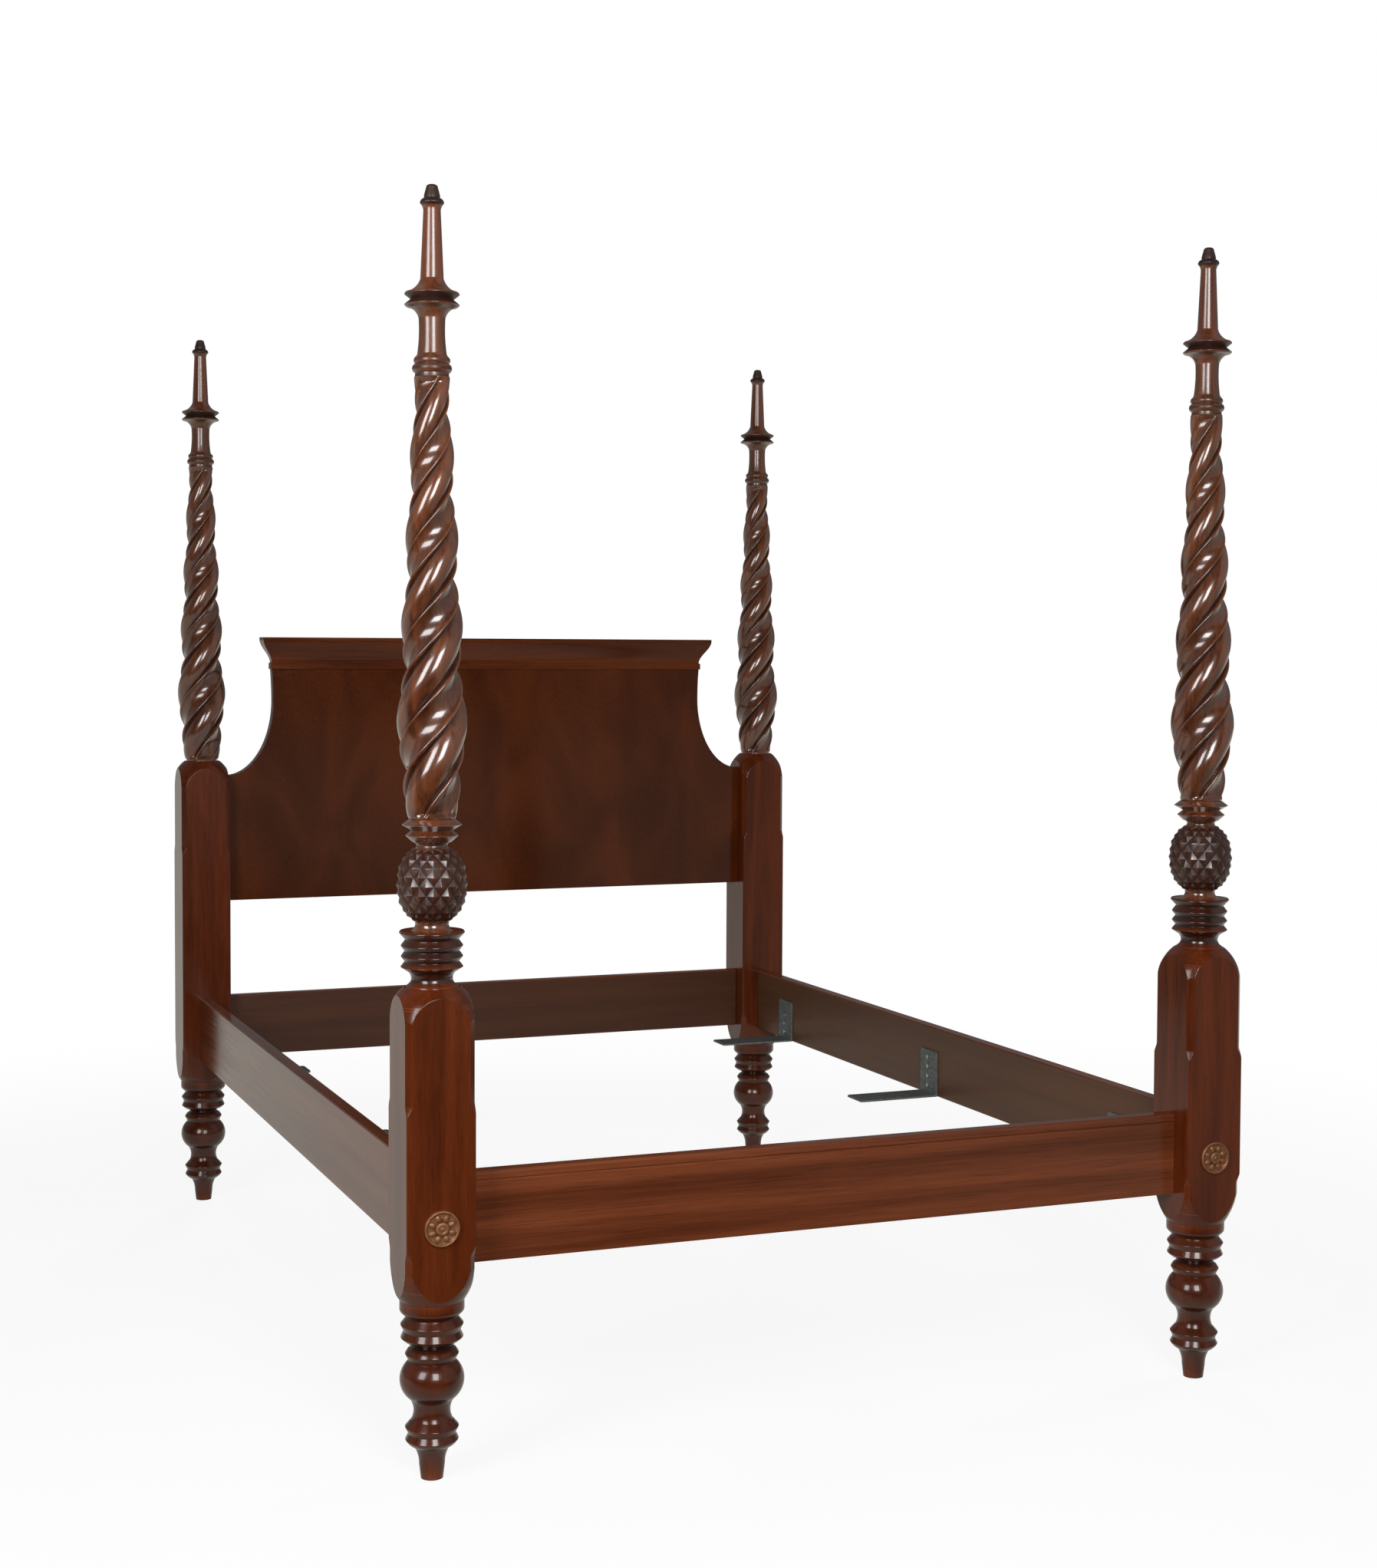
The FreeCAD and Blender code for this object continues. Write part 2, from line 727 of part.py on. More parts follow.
def foot_rail():
    """Foot rail with a quirked bead along the top of its front face."""
    front = -rail_thickness / 2
    back = rail_thickness / 2
    top = rail_top_z
    quirk_top = top - foot_rail_bead_height
    quirk_low = quirk_top - foot_rail_quirk_width
    diagonal = foot_rail_bead_round * (1 - 1 / math.sqrt(2))
    points = [
        Vector(0, back, end_rail_low_z),
        Vector(0, front, end_rail_low_z),
        Vector(0, front, quirk_low),
        Vector(0, front + foot_rail_quirk_depth, (quirk_low + quirk_top) / 2),
        Vector(0, front, quirk_top),
        Vector(0, front, top - foot_rail_bead_round),
    ]
    edges = polygon_edges(points)
    bead_middle = Vector(0, front + diagonal, top - diagonal)
    bead_end = Vector(0, front + foot_rail_bead_round, top)
    edges.append(Part.Arc(points[-1], bead_middle, bead_end).toShape())
    edges += polygon_edges([bead_end, Vector(0, back, top), points[0]])
    rail = Part.Face(Part.Wire(edges)).extrude(Vector(2 * inner_face_x, 0, 0))
    rail.translate(Vector(-inner_face_x, foot_axis_y, 0))
    return fused([rail, end_rail_tenons(foot_axis_y)])


def head_rail():
    """Plain head rail below the headboard."""
    mid_z = rail_top_z - end_rail_height / 2
    section = rounded_section(rail_thickness, end_rail_height, rail_edge_round, Vector(0, 0, mid_z))
    rail = section.extrude(Vector(0, 2 * inner_face_x, 0))
    rail.translate(Vector(0, -inner_face_x, 0))
    rail.rotate(Vector(0, 0, 0), Vector(0, 0, 1), 90)
    rail.translate(Vector(0, head_axis_y, 0))
    return fused([rail, end_rail_tenons(head_axis_y)])


def headboard_panel():
    """Headboard panel with a quarter-ellipse scoop at each side and a tongue for the crest."""
    housed_x = inner_face_x + panel_housing_depth
    scoop_low_z = panel_low_z + panel_post_height
    scoop_high_z = scoop_low_z + panel_scoop_height
    neck_x = inner_face_x - panel_scoop_depth
    crest_x = neck_x + panel_neck_flare
    scoop_centre = Vector(inner_face_x, 0, scoop_high_z)
    right = polygon_edges(
        [
            Vector(housed_x, 0, panel_low_z),
            Vector(housed_x, 0, scoop_low_z),
            Vector(inner_face_x, 0, scoop_low_z),
        ]
    )
    ellipse = Part.Ellipse(
        scoop_centre - Vector(0, 0, panel_scoop_height),
        scoop_centre - Vector(panel_scoop_depth, 0, 0),
        scoop_centre,
    )
    right.append(ellipse.toShape(0, math.pi / 2))
    neck_low = Vector(neck_x, 0, scoop_high_z)
    neck_high = Vector(crest_x, 0, crest_low_z)
    right.append(smooth_edge([neck_low, Vector(neck_x, 0, (scoop_high_z + crest_low_z) / 2), neck_high]))
    left = [edge.mirror(Vector(0, 0, 0), Vector(1, 0, 0)) for edge in right]
    low = polygon_edges([Vector(-housed_x, 0, panel_low_z), Vector(housed_x, 0, panel_low_z)])
    high = polygon_edges([Vector(-crest_x, 0, crest_low_z), neck_high])
    face = Part.Face(Part.Wire(Part.__sortEdges__(right + left + low + high)))
    panel = face.extrude(Vector(0, panel_thickness, 0))
    panel.translate(Vector(0, head_axis_y - panel_thickness / 2, 0))
    tongue_x = crest_x - panel_tongue_height
    tongue = box(
        Vector(-tongue_x, head_axis_y - panel_tongue_thickness / 2, crest_low_z),
        Vector(tongue_x, head_axis_y + panel_tongue_thickness / 2, crest_low_z + panel_tongue_height),
    )
    return fused([panel, tongue])


def crest_outline(base_x):
    """Moulded edge in the XZ plane, rising from base_x: a band, a quirk, a cyma curve and a fillet."""
    top_z = crest_low_z + crest_height
    band_x = base_x + crest_band_projection
    band_z = crest_low_z + crest_band_height
    edge_x = base_x + crest_projection
    fillet_z = top_z - crest_fillet_height
    edges = polygon_edges(
        [Vector(base_x, 0, crest_low_z), Vector(band_x, 0, crest_low_z), Vector(band_x, 0, band_z)]
    )
    edges += polygon_edges([Vector(band_x, 0, band_z), Vector(base_x, 0, band_z)])
    edges += ogee_edges(Vector(base_x, 0, band_z), Vector(edge_x, 0, fillet_z))
    edges += polygon_edges([Vector(edge_x, 0, fillet_z), Vector(edge_x, 0, top_z)])
    return edges


def headboard_crest():
    """Crest moulding, returned at both ends and flat at the back, grooved for the panel's tongue."""
    base_x = inner_face_x - panel_scoop_depth + panel_neck_flare
    top_z = crest_low_z + crest_height
    depth = panel_thickness + crest_projection
    right = crest_outline(base_x)
    left = [edge.mirror(Vector(0, 0, 0), Vector(1, 0, 0)) for edge in right]
    top_x = base_x + crest_projection
    low = polygon_edges([Vector(-base_x, 0, crest_low_z), Vector(base_x, 0, crest_low_z)])
    high = polygon_edges([Vector(-top_x, 0, top_z), Vector(top_x, 0, top_z)])
    ends = Part.Face(Part.Wire(Part.__sortEdges__(right + left + low + high)))
    returns = ends.extrude(Vector(0, -depth, 0))
    front = crest_outline(panel_thickness)
    front += polygon_edges(
        [
            Vector(depth, 0, top_z),
            Vector(0, 0, top_z),
            Vector(0, 0, crest_low_z),
            Vector(panel_thickness, 0, crest_low_z),
        ]
    )
    run = Part.Face(Part.Wire(Part.__sortEdges__(front))).extrude(Vector(0, 2 * top_x, 0))
    run.rotate(Vector(0, 0, 0), Vector(0, 0, 1), -90)
    run.translate(Vector(-top_x, 0, 0))
    crest = returns.common(run)
    crest.translate(Vector(0, head_axis_y + panel_thickness / 2, 0))
    groove_x = base_x - panel_tongue_height + joiner_clearance
    groove_half = panel_tongue_thickness / 2 + joiner_clearance
    groove = box(
        Vector(-groove_x, head_axis_y - groove_half, crest_low_z - cut_overrun),
        Vector(groove_x, head_axis_y + groove_half, crest_low_z + panel_tongue_height + joiner_clearance),
    )
    return crest.cut(groove).Solids[0]


def bolt_corners():
    """Axis place, outward and inward Y signs of the four bolts: (x, post axis y, inward y, inward x)."""
    return [
        (axis_x, axis_y, inward_y, inward_x)
        for axis_x, inward_x in ((left_axis_x, 1), (right_axis_x, -1))
        for axis_y, inward_y in ((foot_axis_y, 1), (head_axis_y, -1))
    ]


def bed_bolt(axis_x, axis_y, inward_y):
    """Hexagon-headed bolt through a post into its side rail."""
    seat_y = axis_y - inward_y * (block_width / 2 - bolt_counterbore_depth)
    head_y = seat_y - inward_y * washer_thickness
    tip_y = axis_y + inward_y * (block_width / 2 + nut_from_rail_end + bolt_past_nut)
    shank = rod(bolt_radius, Vector(axis_x, head_y, bolt_z), Vector(axis_x, tip_y, bolt_z))
    corners = []
    for index in range(bolt_head_sides + 1):
        angle = 2 * math.pi * index / bolt_head_sides
        offset = Vector(bolt_head_radius * math.cos(angle), 0, bolt_head_radius * math.sin(angle))
        corners.append(Vector(axis_x, head_y, bolt_z) + offset)
    head = Part.Face(Part.makePolygon(corners)).extrude(Vector(0, -inward_y * bolt_head_height, 0))
    return fused([shank, head])


def bolt_washer(axis_x, axis_y, inward_y):
    """Plain washer on the floor of a counterbore."""
    seat = Vector(axis_x, axis_y - inward_y * (block_width / 2 - bolt_counterbore_depth), bolt_z)
    outer = seat - Vector(0, inward_y * washer_thickness, 0)
    overrun = Vector(0, inward_y * cut_overrun, 0)
    return rod(washer_radius, outer, seat).cut(rod(bolt_hole_radius, outer - overrun, seat + overrun))


def barrel_nut(axis_x, axis_y, inward_y, inward_x):
    """Barrel nut in a side rail, cross-bored for its bolt."""
    nut_y = axis_y + inward_y * (block_width / 2 + nut_from_rail_end)
    half = Vector(inward_x * nut_length / 2, 0, 0)
    centre = Vector(axis_x, nut_y, bolt_z)
    nut = rod(nut_radius, centre - half, centre + half)
    across = Vector(0, nut_radius + cut_overrun, 0)
    return nut.cut(rod(bolt_radius + running_clearance, centre - across, centre + across))


def rail_dowels():
    """Two dowels at each end of each side rail."""
    dowels = []
    for axis_x, axis_y, inward_y, _ in bolt_corners():
        face_y = axis_y + inward_y * block_width / 2
        for height in dowel_heights:
            half = Vector(0, dowel_length / 2, 0)
            centre = Vector(axis_x, face_y, height)
            dowels.append(rod(dowel_radius, centre - half, centre + half))
    return dowels


def cover_frame(solid, axis_x):
    """Solid made about Z, turned to face the foot of the bed in front of a foot post's bolt."""
    solid.rotate(Vector(0, 0, 0), Vector(1, 0, 0), 90)
    solid.translate(Vector(axis_x, foot_axis_y - block_width / 2 - seat_gap, bolt_z))
    return solid


def bolt_cover(axis_x):
    """Round bolt cover with a raised rim, a ring of petals and a boss, spot-faced for its pin."""
    disc = turning(cover_outline_shares, cover_radius, cover_rise, 0)
    dish_height = cover_dish_share * cover_rise
    petals = []
    for index in range(cover_petals):
        angle = 2 * math.pi * (index + 1 / 2) / cover_petals
        centre = Vector(petal_ring_radius * math.cos(angle), petal_ring_radius * math.sin(angle), dish_height)
        petals.append(Part.makeSphere(petal_radius, centre - Vector(0, 0, petal_radius * petal_sink_share)))
    cover = disc.fuse(petals)
    below = box(
        Vector(-cover_radius, -cover_radius, -cover_radius), Vector(cover_radius, cover_radius, 0)
    )
    pin = Vector(0, cover_pin_offset, 0)
    high = Vector(0, 0, cover_rise + cut_overrun)
    hole = rod(cover_pin_radius + running_clearance, pin - Vector(0, 0, cut_overrun), pin + high)
    spot_radius = cover_pin_head_radius + cover_pin_head_gap
    spot = rod(spot_radius, pin + Vector(0, 0, cover_spot_height), pin + high)
    return cover_frame(cover.cut([below, hole, spot]).Solids[0], axis_x)


def cover_pin(axis_x):
    """Round-headed brass pin that the bolt cover hangs and turns on."""
    pin = Vector(0, cover_pin_offset, 0)
    head_low = cover_spot_height + cover_pin_head_gap
    shank_low = pin - Vector(0, 0, cover_pin_depth + seat_gap)
    shank = rod(cover_pin_radius, shank_low, pin + Vector(0, 0, head_low))
    head = rod(
        cover_pin_head_radius,
        pin + Vector(0, 0, head_low),
        pin + Vector(0, 0, head_low + cover_pin_head_height),
    )
    return cover_frame(fused([shank, head]), axis_x)


def bracket_screw_heights():
    """Heights of the screws in a bracket's upright."""
    low = side_rail_low_z + bracket_screw_low
    return [low + index * bracket_screw_spacing for index in range(bracket_screw_count)]


def screw_lines(axis_x, inward_x):
    """Axis of each bracket screw of one side rail, from the bracket's face to the screw's tip."""
    face_x = axis_x + inward_x * (rail_thickness / 2 + bracket_thickness)
    tip_x = face_x - inward_x * screw_length
    return [
        (Vector(face_x, place_y, height), Vector(tip_x, place_y, height))
        for place_y in bracket_places_y
        for height in bracket_screw_heights()
    ]


def slat_bracket(axis_x, inward_x, place_y):
    """Steel angle whose upright is screwed to the rail and whose foot reaches under the slats."""
    face_x = axis_x + inward_x * rail_thickness / 2
    low_z = side_rail_low_z
    upright = rounded_plate(bracket_upright, low_z, place_y)
    upright.translate(Vector(face_x, 0, 0))
    upright = upright.extrude(Vector(inward_x * bracket_thickness, 0, 0))
    foot = rounded_plate(bracket_reach, 0, place_y)
    foot.rotate(Vector(0, place_y, 0), Vector(0, 1, 0), 90)
    if inward_x < 0:
        foot.rotate(Vector(0, place_y, 0), Vector(0, 0, 1), 180)
    foot.translate(Vector(face_x, 0, low_z))
    foot = foot.extrude(Vector(0, 0, bracket_thickness))
    bracket = fused([upright, foot])
    through = Vector(inward_x * cut_overrun, 0, 0)
    holes = []
    for height in bracket_screw_heights():
        start = Vector(face_x, place_y, height)
        end = start + Vector(inward_x * bracket_thickness, 0, 0)
        holes.append(rod(bracket_hole_radius, start - through, end + through))
    return bracket.cut(holes).Solids[0]


def rounded_plate(length, low_z, place_y):
    """Plate face in the YZ plane, from low_z upwards, with its two far corners rounded."""
    half = bracket_width / 2
    high_z = low_z + length
    diagonal = bracket_corner_round * (1 - 1 / math.sqrt(2))
    shoulder_z = high_z - bracket_corner_round
    inset = half - bracket_corner_round
    right_end = Vector(0, place_y + half, shoulder_z)
    right_top = Vector(0, place_y + inset, high_z)
    left_top = Vector(0, place_y - inset, high_z)
    left_end = Vector(0, place_y - half, shoulder_z)
    right_middle = Vector(0, place_y + half - diagonal, high_z - diagonal)
    left_middle = Vector(0, place_y - half + diagonal, high_z - diagonal)
    edges = polygon_edges([Vector(0, place_y - half, low_z), Vector(0, place_y + half, low_z), right_end])
    edges.append(Part.Arc(right_end, right_middle, right_top).toShape())
    edges += polygon_edges([right_top, left_top])
    edges.append(Part.Arc(left_top, left_middle, left_end).toShape())
    edges += polygon_edges([left_end, Vector(0, place_y - half, low_z)])
    return Part.Face(Part.Wire(edges))


def bracket_screws():
    """Pan-headed screws of all the brackets."""
    screws = []
    for axis_x, inward_x in ((left_axis_x, 1), (right_axis_x, -1)):
        for face, tip in screw_lines(axis_x, inward_x):
            head_end = face + Vector(inward_x * screw_head_height, 0, 0)
            screws.append(fused([rod(screw_radius, face, tip), rod(screw_head_radius, face, head_end)]))
    return screws


def build():
    """All the pieces of the bed by node name."""
    nodes = {}
    foot_upper = upper_post(True)
    head_upper = upper_post(False)
    top_piece = finial()
    top_pin = finial_pin()
    for end, axis_y, inward_y in (("foot", foot_axis_y, 1), ("head", head_axis_y, -1)):
        for side, axis_x, inward_x in (("left", left_axis_x, 1), ("right", right_axis_x, -1)):
            place = Vector(axis_x, axis_y, 0)
            name = side + "_" + end
            is_foot = end == "foot"
            nodes[name + "_lower_post"] = lower_post(is_foot, inward_x, inward_y).translated(place)
            nodes[name + "_upper_post"] = (foot_upper if is_foot else head_upper).translated(place)
            nodes[name + "_finial"] = top_piece.translated(place)
            nodes[name + "_finial_pin"] = top_pin.translated(place)
    nodes["foot_rail"] = foot_rail()
    nodes["head_rail"] = head_rail()
    nodes["headboard_panel"] = headboard_panel()
    nodes["headboard_crest"] = headboard_crest()
    for side, axis_x, inward_x in (("left", left_axis_x, 1), ("right", right_axis_x, -1)):
        nodes[side + "_side_rail"] = side_rail(axis_x, inward_x)
        nodes[side + "_bolt_cover"] = bolt_cover(axis_x)
        nodes[side + "_cover_pin"] = cover_pin(axis_x)
        for place_name, place_y in zip(("foot", "middle", "head"), bracket_places_y):
            nodes[side + "_" + place_name + "_bracket"] = slat_bracket(axis_x, inward_x, place_y)
    corners = bolt_corners()
    nodes["bed_bolts"] = Part.makeCompound([bed_bolt(x, y, into) for x, y, into, _ in corners])
    nodes["bolt_washers"] = Part.makeCompound([bolt_washer(x, y, into) for x, y, into, _ in corners])
    nodes["barrel_nuts"] = Part.makeCompound([barrel_nut(*corner) for corner in corners])
    nodes["rail_dowels"] = Part.makeCompound(rail_dowels())
    nodes["bracket_screws"] = Part.makeCompound(bracket_screws())
    return nodes


os.makedirs("parts", exist_ok=True)
for node_name, node_shape in build().items():
    node_shape.exportStep("parts/" + node_name + ".step")
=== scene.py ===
import logging
import math
from collections.abc import Callable, Sequence
from dataclasses import dataclass
from enum import Enum
from typing import Any, Union

import bpy
from mathutils import Matrix, Vector


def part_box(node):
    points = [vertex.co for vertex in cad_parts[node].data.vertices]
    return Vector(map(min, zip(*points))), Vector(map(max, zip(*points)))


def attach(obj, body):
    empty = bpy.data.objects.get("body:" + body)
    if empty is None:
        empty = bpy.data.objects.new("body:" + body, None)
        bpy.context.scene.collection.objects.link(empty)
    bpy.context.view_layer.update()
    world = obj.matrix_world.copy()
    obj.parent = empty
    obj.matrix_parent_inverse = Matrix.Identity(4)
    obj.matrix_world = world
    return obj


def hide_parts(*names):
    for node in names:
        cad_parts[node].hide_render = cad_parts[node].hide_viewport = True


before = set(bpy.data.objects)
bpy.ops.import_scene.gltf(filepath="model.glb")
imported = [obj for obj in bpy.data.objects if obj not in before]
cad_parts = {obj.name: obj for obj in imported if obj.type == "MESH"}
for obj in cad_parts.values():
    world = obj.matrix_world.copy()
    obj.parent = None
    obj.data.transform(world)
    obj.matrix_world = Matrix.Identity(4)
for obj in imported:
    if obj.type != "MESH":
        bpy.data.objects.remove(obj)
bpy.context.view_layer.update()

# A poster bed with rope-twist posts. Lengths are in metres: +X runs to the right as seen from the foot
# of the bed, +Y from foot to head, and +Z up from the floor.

log = logging.getLogger("poster_bed")

Colour = tuple[float, float, float]
Point = tuple[float, float, float]
Span = tuple[float, float]
OutlineShares = tuple[tuple[float, ...], ...]
Piece = bpy.types.Object
Finish = bpy.types.Material

FULL_TURN = 2 * math.pi
QUARTER_TURN = math.pi / 2
HALF = 0.5
MERGE_DISTANCE = 1e-6
ON_AXIS = 1e-9
SMOOTH_ANGLE = math.radians(36)
BEVEL_ANGLE = math.radians(30)
FLAT_FACE_WEIGHT = 100
CORNER_ANGLE = math.radians(14)
CORNER_STEPS = 4
CORNER_REACH = 0.45
ARC_SPACING = 0.0014
ARC_STEPS = 4
DOME_STEPS = 10
ABOVE_THE_BED: Span = (9.0, 10.0)
WHITE: Colour = (1.0, 1.0, 1.0)
RECESS = "recess"
BARE = "bare"
SIDES = ("left", "right")

# Numbers of a Mix node's colour sockets.
MIX_FIRST = 6
MIX_SECOND = 7
MIX_RESULT = 2

# Turned outlines, bottom to top, as shares of the piece's radius and height.
# The first entry is the start, two shares make a straight line, and four make an arc through the first pair.
# A line that would end on the axis is a dome.
LEG_SHARES: OutlineShares = (
    (0.344, 0.0), (0.400, 0.084), (0.433, 0.129, 0.553, 0.178), (0.709, 0.195, 0.825, 0.220),
    (0.728, 0.254), (0.835, 0.291), (0.641, 0.331), (0.569, 0.379, 0.700, 0.450),
    (0.996, 0.558, 0.719, 0.660), (0.835, 0.700), (0.748, 0.723), (0.583, 0.744), (0.650, 0.757),
    (0.835, 0.770), (0.971, 0.791), (0.874, 0.828), (0.977, 0.864), (0.796, 0.904), (0.980, 0.937),
    (1.0, 0.946), (1.0, 1.0),
)
FOOT_NECK_SHARES: OutlineShares = (
    (0.790, 0.0), (0.770, 0.028), (0.635, 0.185, 0.750, 0.281), (0.954, 0.357), (0.821, 0.455),
    (0.946, 0.545), (0.825, 0.640), (0.948, 0.733), (0.808, 0.843), (1.0, 0.965), (0.962, 1.0),
)
HEAD_NECK_SHARES: OutlineShares = ((1.0, 0.0), (0.960, 0.62, 0.850, 1.0))
FOOT_STEM_SHARES: OutlineShares = ((1.0, 0.0), (0.790, 0.500, 0.810, 1.0))
HEAD_STEM_SHARES: OutlineShares = ((1.0, 0.0), (1.0, 1.0))
COLLAR_SHARES: OutlineShares = (
    (0.570, 0.0), (0.513, 0.075, 0.565, 0.175), (0.660, 0.215), (0.885, 0.430), (0.685, 0.602),
    (1.005, 0.795), (0.735, 1.0),
)
TOP_NECK_SHARES: OutlineShares = (
    (0.619, 0.0), (0.605, 0.050), (0.716, 0.117, 0.607, 0.171), (0.656, 0.225, 0.573, 0.266),
    (0.531, 0.296), (0.472, 0.690, 0.481, 0.758), (0.560, 0.825, 0.940, 0.908), (1.0, 0.933),
    (0.770, 1.0),
)
FINIAL_SHARES: OutlineShares = (
    (0.770, 0.0), (1.0, 0.045), (0.947, 0.062), (0.545, 0.122, 0.420, 0.182), (0.314, 0.770),
    (0.340, 0.800, 0.436, 0.834), (0.400, 0.860, 0.275, 0.878), (0.300, 0.888), (0.262, 0.930),
    (0.215, 0.968), (0.0, 1.0),
)
COVER_SHARES: OutlineShares = (
    (1.0, 0.0), (1.0, 0.30), (0.945, 0.68, 0.860, 0.42), (0.820, 0.30), (0.440, 0.26), (0.410, 0.52),
    (0.330, 0.80, 0.205, 0.86), (0.165, 0.78), (0.0, 1.0),
)


class GrainAxis(Enum):
    """The way that a board's grain runs."""

    X = 0
    Y = 1
    Z = 2


class Cut(Enum):
    """What a cutting shape does to a piece."""

    KEEP_INSIDE = "INTERSECT"
    TAKE_AWAY = "DIFFERENCE"


class End(Enum):
    """The ends of the bed."""

    FOOT = "foot"
    HEAD = "head"


class Shade:
    """A value or colour in a material's nodes, on which Python's operators add Math nodes."""

    def __init__(self, sheet: "ShaderSheet", socket: bpy.types.NodeSocket) -> None:
        """Wrap one output socket of a sheet."""
        self.sheet = sheet
        self.socket = socket

    def _math(self, operation: str, first: "Term", second: "Term") -> "Shade":
        """Add one Math node on two terms."""
        return self.sheet.node("ShaderNodeMath", {"operation": operation}, {0: first, 1: second})

    def __add__(self, other: "Term") -> "Shade":
        """Sum of two terms."""
        return self._math("ADD", self, other)

    def __radd__(self, other: "Term") -> "Shade":
        """Sum with a number on the left."""
        return self._math("ADD", other, self)

    def __sub__(self, other: "Term") -> "Shade":
        """Difference of two terms."""
        return self._math("SUBTRACT", self, other)

    def __rsub__(self, other: "Term") -> "Shade":
        """Difference with a number on the left."""
        return self._math("SUBTRACT", other, self)

    def __mul__(self, other: "Term") -> "Shade":
        """Product of two terms."""
        return self._math("MULTIPLY", self, other)

    def __rmul__(self, other: "Term") -> "Shade":
        """Product with a number on the left."""
        return self._math("MULTIPLY", other, self)

    def above_zero(self) -> "Shade":
        """The value where it is above 0, and else 0."""
        return self._math("MAXIMUM", self, 0.0)

    def between(self, low: float, high: float) -> "Shade":
        """Rise smoothly from 0 at low to 1 at high."""
        settings = {"interpolation_type": "SMOOTHSTEP"}
        return self.sheet.node("ShaderNodeMapRange", settings, {0: self, 1: low, 2: high})


Term = Union[Shade, float]


class ShaderSheet:
    """The node sheet of one material or of the world."""

    def __init__(self, tree: bpy.types.NodeTree) -> None:
        """Start an empty sheet on a node tree."""
        self.tree = tree
        tree.nodes.clear()

    @classmethod
    def for_finish(cls, name: str) -> tuple["ShaderSheet", Finish]:
        """Make a new material and its sheet.

        Args:
            name: the finish's name.

        Returns:
            The empty sheet and the material that it belongs to.
        """
        made = bpy.data.materials.new(name)
        made.use_nodes = True
        return cls(made.node_tree), made

    def node(self, kind: str, settings: dict[str, Any], inputs: dict[Any, Any], output: Any = 0) -> Shade:
        """Add any node.

        Args:
            kind: Blender's name of the node type.
            settings: the node's own settings.
            inputs: values or links of its sockets, by name or number.
            output: name or number of the socket that is returned.

        Returns:
            The chosen output.
        """
        made = self.tree.nodes.new(kind)
        for name, value in settings.items():
            setattr(made, name, value)
        for place, value in inputs.items():
            socket = made.inputs[place]
            if isinstance(value, Shade):
                self.tree.links.new(value.socket, socket)
            else:
                socket.default_value = value
        return Shade(self, made.outputs[output])

    def mix(self, factor: Term, first: Union[Shade, Colour], second: Union[Shade, Colour]) -> Shade:
        """Blend two colours.

        Args:
            factor: 0 for the first colour, 1 for the second.
            first: a colour or a link.
            second: a colour or a link.

        Returns:
            The blended colour.
        """
        inputs = {0: factor}
        for socket, colour in ((MIX_FIRST, first), (MIX_SECOND, second)):
            inputs[socket] = colour if isinstance(colour, Shade) else (*colour, 1.0)
        return self.node("ShaderNodeMix", {"data_type": "RGBA"}, inputs, MIX_RESULT)

    def noise(self, where: Shade, scale: float, detail: float, distortion: float = 0.0) -> Shade:
        """Noise that is centred on one half, read at a place."""
        inputs = {"Vector": where, "Scale": scale, "Detail": detail, "Distortion": distortion}
        return self.node("ShaderNodeTexNoise", {}, inputs)

    def place(self, kind: str = "Object") -> Shade:
        """Coordinates of one kind."""
        return self.node("ShaderNodeTexCoord", {}, {}, kind)

    def axis(self, place: Shade, name: str) -> Shade:
        """One coordinate of a place."""
        return self.node("ShaderNodeSeparateXYZ", {}, {0: place}, name)

    def stretched(self, stretch: Sequence[float], shift: Point) -> Shade:
        """Object coordinates, scaled on each axis and moved."""
        inputs = {"Vector": self.place(), "Scale": stretch, "Location": shift}
        return self.node("ShaderNodeMapping", {}, inputs)

    def marked(self, attribute: str) -> Shade:
        """The value that a mesh carries under a name."""
        return self.node("ShaderNodeAttribute", {"attribute_name": attribute}, {}, "Fac")

    def ray(self, kind: str) -> Shade:
        """1 for a ray of one kind, and else 0."""
        return self.node("ShaderNodeLightPath", {}, {}, f"Is {kind} Ray")

    def bump(self, height: Shade, distance: float, strength: float) -> Shade:
        """Normal that follows a height."""
        return self.node("ShaderNodeBump", {}, {"Height": height, "Distance": distance, "Strength": strength})

    def surface(self, inputs: dict[Any, Any]) -> None:
        """Finish the sheet with one principled surface."""
        self.finish(self.node("ShaderNodeBsdfPrincipled", {}, inputs))

    def finish(self, made: Shade, kind: str = "Material") -> None:
        """Link a shader to the output of a material or of the world."""
        end = self.tree.nodes.new(f"ShaderNodeOutput{kind}")
        self.tree.links.new(made.socket, end.inputs["Surface"])


